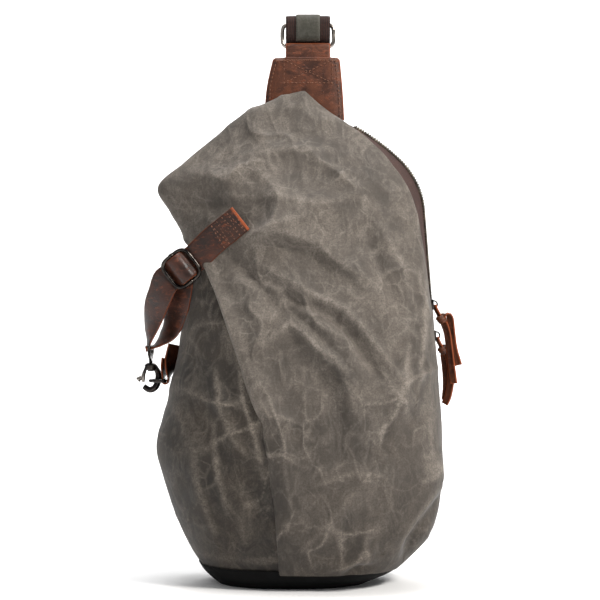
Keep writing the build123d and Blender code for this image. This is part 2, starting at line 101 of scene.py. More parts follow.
def grid_faces(rows, columns, close_rows=False, close_columns=False):
    """The four-cornered faces between neighbouring points of a grid, as rows of point numbers."""
    r = np.arange(rows if close_rows else rows - 1)
    c = np.arange(columns if close_columns else columns - 1)
    r, c = np.meshgrid(r, c, indexing="ij")
    down, right = (r + 1) % rows, (c + 1) % columns
    corners = [r * columns + c, r * columns + right, down * columns + right, down * columns + c]
    return np.stack(corners, axis=-1).reshape(-1, 4)


def make_piece(name, points, faces, material, body="bag", values=None, smooth=True):
    """A mesh from points in millimetres, riding on a body of the frame. values holds one number for
    each point under a name, for the material to read."""
    mesh = bpy.data.meshes.new(name)
    points = np.asarray(points, float).reshape(-1, 3)
    faces = np.asarray(faces, np.int32)
    mesh.vertices.add(len(points))
    mesh.vertices.foreach_set("co", (points * MM).ravel())
    mesh.loops.add(faces.size)
    mesh.loops.foreach_set("vertex_index", faces.ravel())
    mesh.polygons.add(len(faces))
    mesh.polygons.foreach_set("loop_start", np.arange(0, faces.size, faces.shape[1], dtype=np.int32))
    mesh.polygons.foreach_set("use_smooth", np.full(len(faces), smooth))
    for key, numbers in (values or {}).items():
        stored = mesh.attributes.new(key, "FLOAT", "POINT")
        stored.data.foreach_set("value", np.asarray(numbers, np.float32).ravel())
    mesh.update(calc_edges=True)
    mesh.materials.append(material)
    obj = bpy.data.objects.new(name, mesh)
    bag.objects.link(obj)
    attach(obj, body)
    return obj


def join(parts):
    """Several (points, faces) pairs as one pair, each part's point numbers moved past the last."""
    counts = np.cumsum([0] + [np.asarray(p).reshape(-1, 3).shape[0] for p, _ in parts])
    points = np.concatenate([np.asarray(p, float).reshape(-1, 3) for p, _ in parts])
    return points, np.concatenate([np.asarray(f) + n for (_, f), n in zip(parts, counts)])


def along(points, count, closed=False):
    """Evenly spaced points of a Catmull-Rom curve: between two points it is the cubic that leaves and
    arrives in the direction from one neighbour to the other."""
    p = np.asarray(points, float)
    ends = (p[-1:], p[:2]) if closed else (2 * p[:1] - p[1:2], 2 * p[-1:] - p[-2:-1])
    p = np.concatenate([ends[0], p, ends[1]])
    t = np.linspace(0, 1, 24, endpoint=False)[None, :, None]
    a, b, c, d = p[:-3, None], p[1:-2, None], p[2:-1, None], p[3:, None]
    square, cube = 2 * a - 5 * b + 4 * c - d, 3 * b - a - 3 * c + d
    curve = 0.5 * (2 * b + (c - a) * t + square * t**2 + cube * t**3)
    curve = np.concatenate([curve.reshape(-1, p.shape[1]), p[1:2] if closed else p[-2:-1]])
    length = np.concatenate([[0], np.cumsum(np.linalg.norm(np.diff(curve, axis=0), axis=1))])
    at = np.linspace(0, length[-1], count, endpoint=not closed)
    return np.stack([np.interp(at, length, curve[:, k]) for k in range(curve.shape[1])], axis=1)


print("helpers ready")

# %% [markdown]
# ## Colours and shader nodes
# A material is a chain of small steps: noise or stripes, stretched to the range that counts, and then
# one colour mixed into the next by it. Colours are written as sRGB and made linear in one place.

# %% Material helpers


def linear(code):
    """Six sRGB hex digits as the linear colour that a shader takes."""
    parts = [int(code[k:k + 2], 16) / 255 for k in (0, 2, 4)]
    return tuple(c / 12.92 if c <= 0.04045 else ((c + 0.055) / 1.055) ** 2.4 for c in parts) + (1.0,)


def fill(tree, sockets, values):
    """Links each named input to another node's output, or gives it a plain value."""
    for key, value in values.items():
        if isinstance(value, bpy.types.NodeSocket):
            tree.links.new(value, sockets[key])
        else:
            sockets[key].default_value = value


def add(tree, kind, inputs=None, out=0, **settings):
    """Adds a node, gives it its settings, fills its inputs, and returns one output."""
    node = tree.nodes.new(kind)
    for key, value in settings.items():
        setattr(node, key, value)
    fill(tree, node.inputs, inputs or {})
    return node.outputs[out] if len(node.outputs) else node


def mix(tree, share, first, second, **settings):
    """Goes from the first colour to the second as share goes from 0 to 1. A colour is an output or
    six hex digits."""
    first, second = (linear(c) if isinstance(c, str) else c for c in (first, second))
    return add(tree, "ShaderNodeMix", {0: share, 6: first, 7: second}, 2, data_type="RGBA", **settings)


def spread(tree, value, low=0.0, high=1.0, to_low=0.0, to_high=1.0):
    """Stretches a value so that low becomes to_low and high becomes to_high, and stops it at both."""
    limits = {"From Min": low, "From Max": high, "To Min": to_low, "To Max": to_high}
    return add(tree, "ShaderNodeMapRange", {"Value": value, **limits})


def noise(tree, where, scale, detail=2.0, rough=0.5, bent=0.0):
    """Cloudy noise from 0 to 1, with about scale lumps to the metre and detail finer layers in it."""
    look = {"Scale": scale, "Detail": detail, "Roughness": rough, "Distortion": bent}
    return add(tree, "ShaderNodeTexNoise", {"Vector": where, **look})


def stripes(tree, where, scale, way, bent=0.0, detail=2.0):
    """Parallel ridges that follow each other along X, Z or the diagonal."""
    look = {"Scale": scale, "Distortion": bent, "Detail": detail}
    return add(tree, "ShaderNodeTexWave", {"Vector": where, **look}, "Fac", bands_direction=way)


def bump(tree, height, distance, strength, under=None):
    """Light bent as if the surface rose by distance metres with height, over an earlier bump."""
    inputs = {"Height": height, "Distance": distance, "Strength": strength}
    if under is not None:
        inputs["Normal"] = under
    return add(tree, "ShaderNodeBump", inputs, "Normal")


def stretched(tree, where, scale, turn=0.0):
    """The place on the object, turned about Y and squeezed, so that a pattern comes out longer."""
    return add(tree, "ShaderNodeMapping", {"Vector": where, "Rotation": (0, turn, 0), "Scale": scale})


def begin(name):
    """An empty material. Returns it, its tree, its shader's inputs and the place on the object."""
    material = bpy.data.materials.new(name)
    material.use_nodes = True
    tree = material.node_tree
    tree.nodes.clear()
    surface = add(tree, "ShaderNodeBsdfPrincipled")
    add(tree, "ShaderNodeOutputMaterial", {"Surface": surface})
    return material, tree, surface.node.inputs, add(tree, "ShaderNodeTexCoord", out="Object")


grey = linear("808080")[0]
print("a mid grey, linear:", round(grey, 3))

# %% [markdown]
# ## Waxed canvas
# Waxed canvas is cotton duck soaked in wax. Where it bends, the wax cracks and the cloth shows paler,
# so its folds are drawn twice: once in its shape, once in its colour. The mesh stores a number called
# crease, high along each fold, and the material mixes the pale colour in by it.

# %% Canvas material


def waxed_canvas(name, dark, light, pale):
    """Woven cotton duck, wax-impregnated: mottled, dull, with pale cracks where it has been folded."""
    material, tree, surface, where = begin(name)
    # the wax lies thicker in patches about 40 mm across
    patch = noise(tree, where, 26.0, 6.0, 0.62, 0.7)
    patch = spread(tree, patch, 0.34, 0.66)
    colour = mix(tree, patch, dark, light)
    # cloudy rubbed places, 10 to 20 mm
    tall = stretched(tree, where, (1.0, 1.0, 0.6), 0.5)
    cloud = noise(tree, tall, 62.0, 5.0, 0.68, 1.4)
    cloud = spread(tree, cloud, 0.46, 0.76, 0.0, 0.4)
    colour = mix(tree, cloud, colour, pale)
    # thin cracks in the wax, between cells 25 mm across whose edges are bent by noise
    bend = add(tree, "ShaderNodeTexNoise", {"Vector": where, "Scale": 30.0, "Detail": 3.0}, "Color")
    bend = add(tree, "ShaderNodeVectorMath", {0: bend, 1: (0.03, 0.03, 0.03)}, operation="MULTIPLY")
    bent = add(tree, "ShaderNodeVectorMath", {0: where, 1: bend}, operation="ADD")
    crack = add(tree, "ShaderNodeTexVoronoi", {"Vector": bent, "Scale": 40.0}, "Distance",
                feature="DISTANCE_TO_EDGE")
    crack = spread(tree, crack, 0.0, 0.06, 1.0, 0.0)
    seen = noise(tree, where, 33.0, 2.0)
    seen = spread(tree, seen, 0.48, 0.68, 0.0, 0.27)
    crack = add(tree, "ShaderNodeMath", {0: crack, 1: seen}, operation="MULTIPLY")
    colour = mix(tree, crack, colour, pale)
    # finer cracks that run mostly upwards, as the cloth hangs from its top
    hung = stretched(tree, bent, (1.0, 1.0, 0.4), 0.35)
    hair = add(tree, "ShaderNodeTexVoronoi", {"Vector": hung, "Scale": 78.0}, "Distance",
               feature="DISTANCE_TO_EDGE")
    hair = spread(tree, hair, 0.0, 0.09, 1.0, 0.0)
    some = noise(tree, where, 46.0, 3.0)
    some = spread(tree, some, 0.5, 0.74, 0.0, 0.26)
    hair = add(tree, "ShaderNodeMath", {0: hair, 1: some}, operation="MULTIPLY")
    colour = mix(tree, hair, colour, pale)
    # the folds of the mesh, broken up so that they look rubbed and not drawn
    fold = add(tree, "ShaderNodeAttribute", out="Fac", attribute_name="crease")
    rub = noise(tree, where, 210.0, 4.0, 0.7)
    rub = spread(tree, rub, 0.32, 0.62, 0.25)
    fold = add(tree, "ShaderNodeMath", {0: fold, 1: rub}, operation="MULTIPLY")
    colour = mix(tree, fold, colour, pale)
    # slubs of the yarn, 1 to 1.5 mm, which is coarser than the weave
    slub = noise(tree, where, 700.0, 3.0, 0.7)
    slub = spread(tree, slub, 0.38, 0.7, 0.0, 0.7)
    colour = mix(tree, slub, colour, dark)
    # painted shade: the lowest 240 mm are darkened, standing in for the dimmer light low on the bag
    up = add(tree, "ShaderNodeSeparateXYZ", {0: where}, "Z")
    up = spread(tree, up, 0.0, 0.24, 0.92, 0.0)
    colour = mix(tree, up, colour, "a8a4a0", blend_type="MULTIPLY")
    # the duck's ribs, drawn at 1.1 mm because its real 0.6 mm is finer than the render shows
    rib_x = stripes(tree, where, 285.0, "X", 1.5, 1.0)
    rib_z = stripes(tree, where, 285.0, "Z", 1.5, 1.0)
    ribs = add(tree, "ShaderNodeMath", {0: rib_x, 1: rib_z}, operation="MULTIPLY")
    rumple = add(tree, "ShaderNodeMath", {0: crack, 1: hair}, operation="ADD")
    low = bump(tree, rumple, 0.0012, 0.6)
    fine = bump(tree, ribs, 0.0003, 0.6, low)
    fill(tree, surface, {"Base Color": colour, "Specular IOR Level": 0.3, "Sheen Weight": 0.08,
                         "Sheen Roughness": 0.5, "Roughness": spread(tree, patch, 0.0, 1.0, 0.6, 0.78),
                         "Normal": fine})
    return material


CANVAS = waxed_canvas("waxed cotton duck", "443e38", "6b635b", "a89e93")
# painted shade: the same canvas in darker colours, for the side panel that the key lamp leaves in shade; the
# right gusset and the crown use it too
SHADE_DARKENED_CANVAS = waxed_canvas("waxed cotton duck, darkened as painted shade", "2b2621", "484038", "968c80")
print("canvas materials ready")

# %% [markdown]
# ## The shape of the bag
# The bag is widest below its middle and leans to one side, with a wing of slack cloth where the side
# strap pulls. Its outline is known at a few heights. A smooth curve is drawn through those rows, and
# at each height the cross-section is a rounded oval, deeper in front than behind.

# %% The outline of the bag
# height, left, right, front, back, and how thin the left end is
SECTIONS = [(0, -72, 58, -50, 34, 0), (16, -87, 89, -66, 42, 0), (47, -104, 115, -76, 44, 0),
            (89, -119, 123, -80, 45, 0), (120, -125, 123, -80, 45, 0), (162, -114, 121.1, -76, 45, 0),
            (225, -103, 116.2, -66, 45, 0), (289, -97, 111.2, -50, 43, .3), (318, -111, 108.9, -42, 39, .5),
            (340, -122, 103.6, -34, 35, .6), (360, -100, 91.1, -25, 29, .5), (381, -75, 66.8, -16, 21, .3),
            (402, -50, 32, -8, 16.8, .1), (418, -14, 16, -1, 16, 0)]
ROUND = 2.5
SEAM = 8.0              # y of the side seams and of the zipper
BACK_SEAM = 17.0        # y where the canvas meets the black back
BASE_TOP = 16.0         # z where it meets the black base
smooth_rows = along(SECTIONS, 900)
order = np.argsort(smooth_rows[:, 0])
smooth_rows = smooth_rows[order]


def rows_at(z):
    """The smooth section table at each height."""
    return [np.interp(z, smooth_rows[:, 0], smooth_rows[:, k]) for k in range(1, 6)]


def outline(turn, z):
    """A point of the shell: x runs with the cosine and y with the sine of the turn, each to the power
    2 over 2.5, which squares an ellipse's shoulders. turn and z are arrays of one shape."""
    left, right, front, back, thin = rows_at(z)
    across = np.sign(np.cos(turn)) * np.abs(np.cos(turn)) ** (2 / ROUND)
    through = np.sign(np.sin(turn)) * np.abs(np.sin(turn)) ** (2 / ROUND)
    depth = np.where(through > 0, back - SEAM, SEAM - front) * (1 - thin * np.minimum(0, across) ** 2)
    return np.stack([(left + right) / 2 + (right - left) / 2 * across, SEAM + depth * through, z], axis=-1)


def seam_turn(z):
    """How far past the side line the back seam lies, as a turn: where y reaches the seam's y."""
    back = rows_at(z)[3]
    return np.arcsin(np.clip((BACK_SEAM - SEAM) / np.maximum(back - SEAM, 1e-3), 0, 0.98) ** (ROUND / 2))


def front_turn(x, z):
    """The turn, over the front, where the outline passes x."""
    left, right = rows_at(z)[:2]
    across = np.clip((x - (left + right) / 2) / ((right - left) / 2), -0.99999, 0.99999)
    return 1.5 * np.pi + np.sign(across) * np.arcsin(np.abs(across) ** (ROUND / 2))


print("outline drawn through", len(SECTIONS), "sections")

# %% [markdown]
# A panel is the part of the outline between two turns, at every height. Its points are spread evenly
# along the cloth, so that folds keep their width where the outline bends.

# %% Panels and their normals


def panel(z, start, end, columns):
    """A grid of the shell: at each height z, evenly spaced points from the turn start to the turn end."""
    share = np.linspace(0, 1, 500)[None, :]
    turn = start[:, None] + (end - start)[:, None] * share
    fine = outline(turn, np.broadcast_to(z[:, None], turn.shape))
    step = np.linalg.norm(np.diff(fine, axis=1), axis=2)
    run = np.concatenate([np.zeros((len(z), 1)), np.cumsum(step, axis=1)], axis=1)
    at = np.linspace(0, 1, columns)
    even = np.stack([np.interp(at, r / r[-1], t) for r, t in zip(run, turn)])
    return outline(even, np.broadcast_to(z[:, None], even.shape))


def outward(grid):
    """Unit normals of a grid: the cross product of its two directions of travel."""
    normal = np.cross(np.gradient(grid, axis=1), np.gradient(grid, axis=0))
    return normal / np.maximum(np.linalg.norm(normal, axis=-1, keepdims=True), 1e-9)


print("widest", round(float(np.max(smooth_rows[:, 2] - smooth_rows[:, 1])), 1), "mm")

# %% [markdown]
# ## Folds
# A stuffed canvas bag folds where it is pulled. Each large fold is a line across the front with a
# height and a width, sharper on one side than on the other. Between them the cloth is crumpled, which
# ridged noise gives: smooth noise folded at its middle value, so that it peaks along thin lines.

# %% Distance to a fold, and noise
LATTICE = 64            # cells of noise before it repeats


def near_line(x, z, line):
    """For each point, the distance to a broken line, the side of it (+1 left of its direction), and
    how far along it the nearest place is, from 0 to 1."""
    line = np.asarray(line, float)
    best, side, place = np.full(x.shape, 1e9), np.ones(x.shape), np.zeros(x.shape)
    steps = np.diff(line, axis=0)
    lengths = np.linalg.norm(steps, axis=1)
    for k, (a, d, size) in enumerate(zip(line[:-1], steps, lengths)):
        t = np.clip(((x - a[0]) * d[0] + (z - a[1]) * d[1]) / size**2, 0, 1)
        away_x, away_z = x - a[0] - t * d[0], z - a[1] - t * d[1]
        gap = np.hypot(away_x, away_z)
        closer = gap < best
        best = np.where(closer, gap, best)
        side = np.where(closer, np.sign(d[0] * away_z - d[1] * away_x), side)
        place = np.where(closer, (lengths[:k].sum() + t * size) / lengths.sum(), place)
    return best, side, place


def value_noise(x, z, cell, seed):
    """Smooth noise from 0 to 1: random numbers on a lattice of that cell size, mixed between corners
    by the S-shaped weight 3t squared minus 2t cubed."""
    table = np.random.default_rng(seed).random((LATTICE, LATTICE))
    u, v = x / cell + 32, z / cell + 8
    i, j = np.floor(u).astype(int), np.floor(v).astype(int)
    s, t = u - i, v - j
    s, t = s * s * (3 - 2 * s), t * t * (3 - 2 * t)
    corner = lambda a, b: table[(i + a) % LATTICE, (j + b) % LATTICE]
    low, high = (corner(0, k) * (1 - s) + corner(1, k) * s for k in (0, 1))
    return low * (1 - t) + high * t


def ridged(x, z, cell, seed):
    """Noise folded at its middle, so that it is 1 along thin lines and falls away on both sides."""
    wander_x = cell * 0.7 * (value_noise(x, z, cell * 0.8, seed + 50) - 0.5)
    wander_z = cell * 0.7 * (value_noise(x, z, cell * 0.8, seed + 60) - 0.5)
    return 1 - np.abs(2 * value_noise(x + wander_x, z + wander_z, cell, seed) - 1)


print("noise repeats after", LATTICE, "cells")

# %% [markdown]
# The large folds of the front are placed one by one, because the eye knows a bag by them. A fold with
# a negative height is a hollow. The crumple comes in three sizes of 46, 25 and 12 mm.

# %% Folds and crumple
# height and the two widths in mm, how pale its crest is, then the fold's line as x, z
FOLDS = [(2.2, 7, 12, 0.35, [(-58, 330), (-14, 327), (11, 322), (32, 325), (44, 330)]),
         (2.6, 10, 7, 0.4, [(-45, 296), (-20, 303), (8, 314)]),
         (-4.2, 5, 8, 0, [(-40, 283), (-27, 288), (-14, 288), (11, 280), (27, 266), (42, 257)]),
         (2.6, 8, 5, 0.5, [(-42, 291), (-27, 297), (-12, 297), (14, 289), (31, 274), (46, 264)]),
         (-5.5, 9, 5, 0, [(-28, 260), (-4, 244), (12, 234), (29, 226), (44, 210), (56, 192), (74, 169)]),
         (3.2, 4, 10, 0.45, [(-24, 268), (0, 252), (18, 242), (37, 233), (53, 216), (66, 197), (84, 174)]),
         (-3.6, 6, 4, 0, [(-66, 284), (-50, 270), (-30, 250), (-18, 230)]),
         (3.4, 10, 4, 0.5, [(-30, 205), (-9, 223), (1, 216), (11, 204), (29, 186)]),
         (-3.0, 4, 9, 0, [(-26, 216), (-8, 232), (6, 222), (17, 210), (34, 193)]),
         (2.0, 4, 8, 0.6, [(96, 166), (101, 216), (104, 257)]),
         (1.8, 4, 6, 0.55, [(83, 166), (89, 204)]),
         (1.6, 6, 9, 0.3, [(-50, 363), (-10, 369), (27, 368)]),
         (2.0, 6, 6, 0.5, [(-40, 150), (-30, 152)]),
         (2.0, 7, 7, 0.5, [(-22, 146), (-8, 143), (-12, 134)]),
         (2.8, 8, 5, 0.4, [(3, 216), (14, 202), (29, 193), (38, 173), (45, 148)]),
         (-2.6, 6, 9, 0, [(10, 186), (24, 172), (30, 150), (34, 128)]),
         (2.4, 8, 5, 0.45, [(60, 198), (76, 166), (85, 155)]),
         (2.2, 7, 10, 0.45, [(11, 90), (42, 100), (68, 98), (71, 106)]),
         (-2.6, 6, 6, 0, [(20, 108), (50, 116), (80, 118)]),
         (3.2, 14, 9, 0.35, [(3, 38), (20, 58), (45, 85)]),
         (2.2, 5, 8, 0.5, [(56, 57), (52, 42), (55, 25)]),
         (-6.0, 3.5, 5, 0, [(117, 70), (110, 61), (100, 50), (94, 41), (90, 27)]),
         (2.6, 6, 12, 0.5, [(114, 84), (100, 68), (88, 54), (80, 36)]),
         (3.2, 4, 10, 0.5, [(30, 26), (37, 24), (45, 30), (54, 31)]),
         (-3.4, 4, 5, 0, [(36, 15), (46, 21), (58, 22)]),
         (2.4, 7, 9, 0.35, [(-14, 120), (-10, 90), (-4, 60)]),
         (-2.4, 6, 10, 0, [(68, 150), (70, 130), (62, 112)]),
         (2.2, 6, 8, 0.35, [(-95, 352), (-70, 345), (-40, 350)]),
         (-2.4, 8, 6, 0, [(-104, 322), (-80, 325), (-58, 318)]),
         (1.8, 5, 7, 0.4, [(70, 300), (84, 270), (92, 240)]),
         (-2.2, 7, 7, 0, [(56, 296), (66, 268), (78, 244)])]
SIDE_FOLDS = [(2.2, 5, 8, 0.8, [(-110, 118), (-107, 91), (-100, 72), (-91, 46)]),
              (2.4, 6, 6, 0.8, [(-92, 184), (-89, 150), (-81, 127), (-71, 114)]),
              (-2.6, 6, 8, 0, [(-104, 150), (-98, 128), (-88, 100)]),
              (2.2, 7, 7, 0.4, [(-60, 150), (-50, 128), (-52, 96)]),
              (-2.4, 6, 8, 0, [(-72, 90), (-62, 66), (-64, 36)]),
              (2.0, 7, 7, 0.45, [(-86, 76), (-74, 62), (-70, 40)]),
              (2.0, 6, 6, 0.4, [(-84, 224), (-78, 204), (-66, 176)]),
              (1.2, 4, 4, 0.9, [(-74, 200), (-72, 160), (-63, 122), (-58, 96)]),
              (1.0, 4, 4, 0.8, [(-98, 140), (-95, 104), (-84, 66)])]


def folded(x, z, folds, crumple, seed):
    """The height of the cloth above the plain shell and its crease number. Each fold falls off from
    its line as one over the hyperbolic cosine of distance over width, and fades out at both ends."""
    height, crease = np.zeros(x.shape), np.zeros(x.shape)
    for tall, left_width, right_width, pale, line in folds:
        gap, side, place = near_line(x, z, line)
        width = np.where(side > 0, left_width, right_width)
        fade = np.sin(np.pi * (0.12 + 0.76 * place)) ** 0.8
        height += tall * fade / np.cosh(gap / width * 1.3)
        crease += pale * fade * np.exp(-(gap / 2.2) ** 2)
    for cell, tall, mark, k in ((46, 4.0, 0.38, 0), (25, 1.6, 0.38, 1), (12, 0.5, 0.2, 2)):
        lines = ridged(x * 0.95 + z * 0.25, z * 0.8 - x * 0.2, cell, seed + k)
        seen = np.clip(3.2 * value_noise(x, z, cell * 1.7, seed + 20 + k) - 1.3, 0, 1)
        low = 1 + 0.7 * np.clip((210 - z) / 90, 0, 1)
        height += (1.7 - 0.7 * low) * crumple * tall * (lines ** 2.2 - 0.35) * (0.35 + 0.65 * seen)
        crease += low**2 * mark * seen * np.clip((lines - 0.90) / 0.10, 0, 1) ** 1.5
    return height, np.clip(crease, 0, 1)


print("folds:", len(FOLDS) + len(SIDE_FOLDS))

# %% [markdown]
# ## The canvas front
# The front panel laps over the side panel along a slanting edge, and its other edge runs beside the
# zipper. Its rim is turned under, as a hem is, by pulling the last columns of the grid inwards.

# %% Edges of the front
LAP_EDGE = np.array([(-17.5, 9), (-19.2, 39), (-21.4, 72), (-26.5, 101), (-30.8, 128), (-31.6, 139),
                     (-43.6, 166), (-53, 195), (-57.3, 208), (-65, 230), (-71.8, 248.6),
                     (-79.5, 266.5), (-91, 289)], float)
ZIP_INSET = np.array([(0, 1), (200, 1.5), (250, 3), (285, 5), (318, 7.5), (338, 10), (357, 12),
                      (378, 8), (395, 2), (418, 0)], float)
SHELL_FOOT, SHELL_TOP = BASE_TOP - 1.5, 417.0


def lap_turn(z, shift=0.0):
    """The turn of the slanting edge. Above the side strap it leaves the front and follows the wing."""
    x = np.interp(z, LAP_EDGE[:, 1], LAP_EDGE[:, 0])
    rise = np.clip((z - 285) / 12, 0, 1)
    side = np.pi - 0.6 * seam_turn(z)
    return (1 - rise) * front_turn(x + shift, z) + rise * side


def zip_turn(z):
    """The turn of the edge beside the zipper, a little inside the right outline."""
    inset = np.interp(z, ZIP_INSET[:, 0], ZIP_INSET[:, 1])
    return front_turn(rows_at(z)[1] - inset, z)


def hem(columns, under, width=4):
    """How far each column is pushed in: nothing in the middle, more over the last few at each edge."""
    rim = np.minimum(np.arange(columns), np.arange(columns)[::-1])
    return under * np.clip(1 - rim / width, 0, 1) ** 2


print("the lapping edge goes from x", LAP_EDGE[0, 0], "to", LAP_EDGE[-1, 0])

# %% [markdown]
# The folds are kept low beside the zipper and at the base seam, where stitches hold the cloth down,
# and under the side strap, which presses it flat. Along the lapping edge the hem makes a soft roll.

# %% The front panel
z = np.linspace(SHELL_FOOT, SHELL_TOP, 268)
columns = 236
front = panel(z, lap_turn(z), zip_turn(z), columns)
height, crease = folded(front[..., 0], front[..., 2], FOLDS, 1.0, 11)
edge_distance = np.linalg.norm(front - front[:, :1], axis=2)
right_distance = np.linalg.norm(front - front[:, -1:], axis=2)
calm = np.clip(right_distance / 14, 0.1, 1) * np.clip((z[:, None] - 10) / 12, 0.2, 1)
soft_edge = np.clip((z[:, None] - 126) / 30, 0, 1) * np.clip((300 - z[:, None]) / 20, 0, 1)
STRAP_SEAT = [(-44, 315), (-62, 301), (-80, 287)]
pressed = 1 - 0.85 * np.exp(-(near_line(front[..., 0], front[..., 2], STRAP_SEAT)[0] / 17) ** 4)
roll = 3.5 * soft_edge * np.exp(-((edge_distance - 5) / 6) ** 2)
wing = np.clip((z[:, None] - 290) / 20, 0, 1)
calm = calm * (1 - wing * (1 - np.clip(edge_distance / 34, 0.06, 1)))
height = 1.9 * height * calm * pressed * np.clip(edge_distance / 8, 0.3, 1) + roll
height += 0.3 + 1.3 * np.clip(right_distance / 20, 0, 1)
height = np.where(height < 1, 1 - 6.5 * np.tanh((1 - height) / 6.5), height)
height -= hem(columns, 3.4)[None, :]
front_points = front + outward(front) * height[..., None]
peak = np.clip((front_points[..., 2] - 398) / 19, 0, 1) ** 2
front_points[..., 2] += 4.5 * peak * np.exp(-np.abs((front_points[..., 0] - 3) / 15) ** 1.5)
front_points[..., 2] -= 7.0 * peak * np.clip((front_points[..., 0] - 4) / 12, 0, 1)
crease = np.clip(crease + 0.5 * soft_edge * np.exp(-((edge_distance - 3) / 2.5) ** 2), 0, 1)
front_panel = make_piece("canvas_front", front_points, grid_faces(len(z), columns), CANVAS,
                         values={"crease": crease})
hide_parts("front_panel")
print("front panel points:", front_points.size // 3)

# %% [markdown]
# ## Side panel, gusset, back and base
# The side panel starts under the front's edge and wraps round to the back seam. It is the same cloth,
# in darker colours that paint in the shade of the side turned away from the key lamp. The back and the
# base are coated black nylon, so they have no pale folds. Every panel is the same outline function over
# another range of turns.

# %% Side panel and right gusset


def shell_piece(name, z, start, end, columns, material, folds, node, lift=0.4, crumple=0.75, seed=40):
    """One more panel of the shell, with its own folds, lifted off the plain outline."""
    grid = panel(z, start, end, columns)
    height, crease = folded(grid[..., 0] + 0.35 * grid[..., 1], grid[..., 2], folds, crumple, seed)
    calm = np.clip(np.minimum(np.arange(columns), np.arange(columns)[::-1]) / 7, 0.15, 1)[None, :]
    height = 1.7 * height * calm + lift - hem(columns, 1.6)[None, :]
    points = grid + outward(grid) * height[..., None]
    piece = make_piece(name, points, grid_faces(len(z), columns), material,
                       values={"crease": crease * calm})
    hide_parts(node)


z = np.linspace(SHELL_FOOT, SHELL_TOP, 210)
under_edge = lap_turn(z, 24.0)
shell_piece("canvas_side", z, np.pi - seam_turn(z), under_edge, 110, SHADE_DARKENED_CANVAS, SIDE_FOLDS,
            "left_gusset", lift=-1.8)
z = np.linspace(SHELL_FOOT, 153.0, 76)
shell_piece("canvas_right_gusset", z, zip_turn(z) - 0.04, 2 * np.pi + seam_turn(z), 22, SHADE_DARKENED_CANVAS,
            [], "right_gusset", lift=0.2, crumple=0.15)
print("side panel starts", round(float(under_edge.mean()), 2), "radians round the bag")

# %% [markdown]
# Under the yoke all panels meet. A crown closes the top there, a little inside the others, and lower
# on its right, where the zipper's upper end passes in front of it.

# %% Crown
CROWN_FOOT = 378.0


def crown_shape():
    """The top of the bag, where its panels meet under the yoke: rings of the outline, a little inside
    the other panels, then rings drawn in to the middle to close it."""
    turn = np.linspace(0, 2 * np.pi, 120, endpoint=False)
    z = np.linspace(CROWN_FOOT, SHELL_TOP, 16)
    wall = outline(*np.broadcast_arrays(turn[None, :], z[:, None]))
    inset = 1.2 + 2.6 * np.clip((404 - z) / 10, 0, 1)
    wall = wall - outward(wall) * inset[:, None, None]
    top, right = np.clip((z[:, None] - 398) / 19, 0, 1) ** 2, np.clip((wall[..., 0] - 2) / 12, 0, 1)
    wall[..., 2] -= 8.0 * top * right
    centre = wall[-1].mean(axis=0) + (0, 0, 1.0)
    lid = centre + (wall[-1] - centre) * np.linspace(0.9, 0.0, 8)[:, None, None]
    return np.concatenate([wall, lid])


crown_grid = crown_shape()
make_piece("canvas_crown", crown_grid, grid_faces(len(crown_grid), 120, close_columns=True),
           SHADE_DARKENED_CANVAS, values={"crease": np.zeros(crown_grid.shape[:2])})
print("crown points:", crown_grid.size // 3)

# %% [markdown]
# ## Black nylon and mesh
# Coated nylon is a fine plain weave of black yarn under a thin polyurethane skin. The skin gives it a
# soft shine that canvas lacks. The pad on the back is covered with spacer mesh, a knit with round
# holes, which are drawn as dark cells 3 mm apart.

# %% Nylon and mesh


def coated_nylon(name, dark, light, rough):
    """Woven nylon with a thin polyurethane coat: near black, fine square grain, soft shine."""
    material, tree, surface, where = begin(name)
    across = stripes(tree, where, 350.0, "X", 0.6)
    up = stripes(tree, where, 350.0, "Z", 0.6)
    grain = add(tree, "ShaderNodeMath", {0: across, 1: up}, operation="ADD")
    dust = noise(tree, where, 45.0, 5.0, 0.65)
    dust = spread(tree, dust, 0.35, 0.7)
    colour = mix(tree, dust, dark, light)
    normal = bump(tree, grain, 0.0002, 0.5)
    fill(tree, surface, {"Base Color": colour, "Roughness": rough, "Specular IOR Level": 0.12,
                         "Normal": normal})
    return material


def spacer_mesh(name):
    """Knitted polyester spacer fabric: round holes 3 mm apart, each with a raised rim of yarn."""
    material, tree, surface, where = begin(name)
    flat = stretched(tree, where, (1.0, 0.0, 1.0))
    grid = {"Vector": flat, "Scale": 330.0, "Randomness": 0.25}
    cell = add(tree, "ShaderNodeTexVoronoi", grid, "Distance")
    hole = spread(tree, cell, 0.22, 0.42)
    colour = mix(tree, hole, "020202", "1c1c1f")
    normal = bump(tree, hole, 0.0008, 0.9)
    fill(tree, surface, {"Base Color": colour, "Roughness": 0.8, "Normal": normal})
    return material


NYLON = coated_nylon("coated black nylon", "010101", "070708", 0.75)
MESH = spacer_mesh("black spacer mesh")
print("nylon and mesh ready")

# %% [markdown]
# The back is a panel like the front, with shallow folds. The base turns the outline in to the floor.

# %% Back and base
BACK_FOLDS = [(1.6, 8, 8, 0, [(-90, 120), (-80, 90), (-60, 60)]),
              (-1.8, 8, 8, 0, [(-100, 160), (-84, 150), (-70, 158)]),
              (1.6, 8, 8, 0, [(96, 110), (84, 84), (60, 58)]),
              (-1.6, 8, 8, 0, [(86, 330), (60, 350), (30, 352)]),
              (1.5, 8, 8, 0, [(-96, 330), (-64, 342), (-30, 350)]),
              (-1.6, 8, 10, 0, [(-60, 40), (0, 46), (60, 38)])]
z = np.linspace(SHELL_FOOT, SHELL_TOP, 200)
shell_piece("nylon_back", z, seam_turn(z), np.pi - seam_turn(z), 150, NYLON,
            BACK_FOLDS, "back_panel", lift=0.3, crumple=0.3, seed=70)


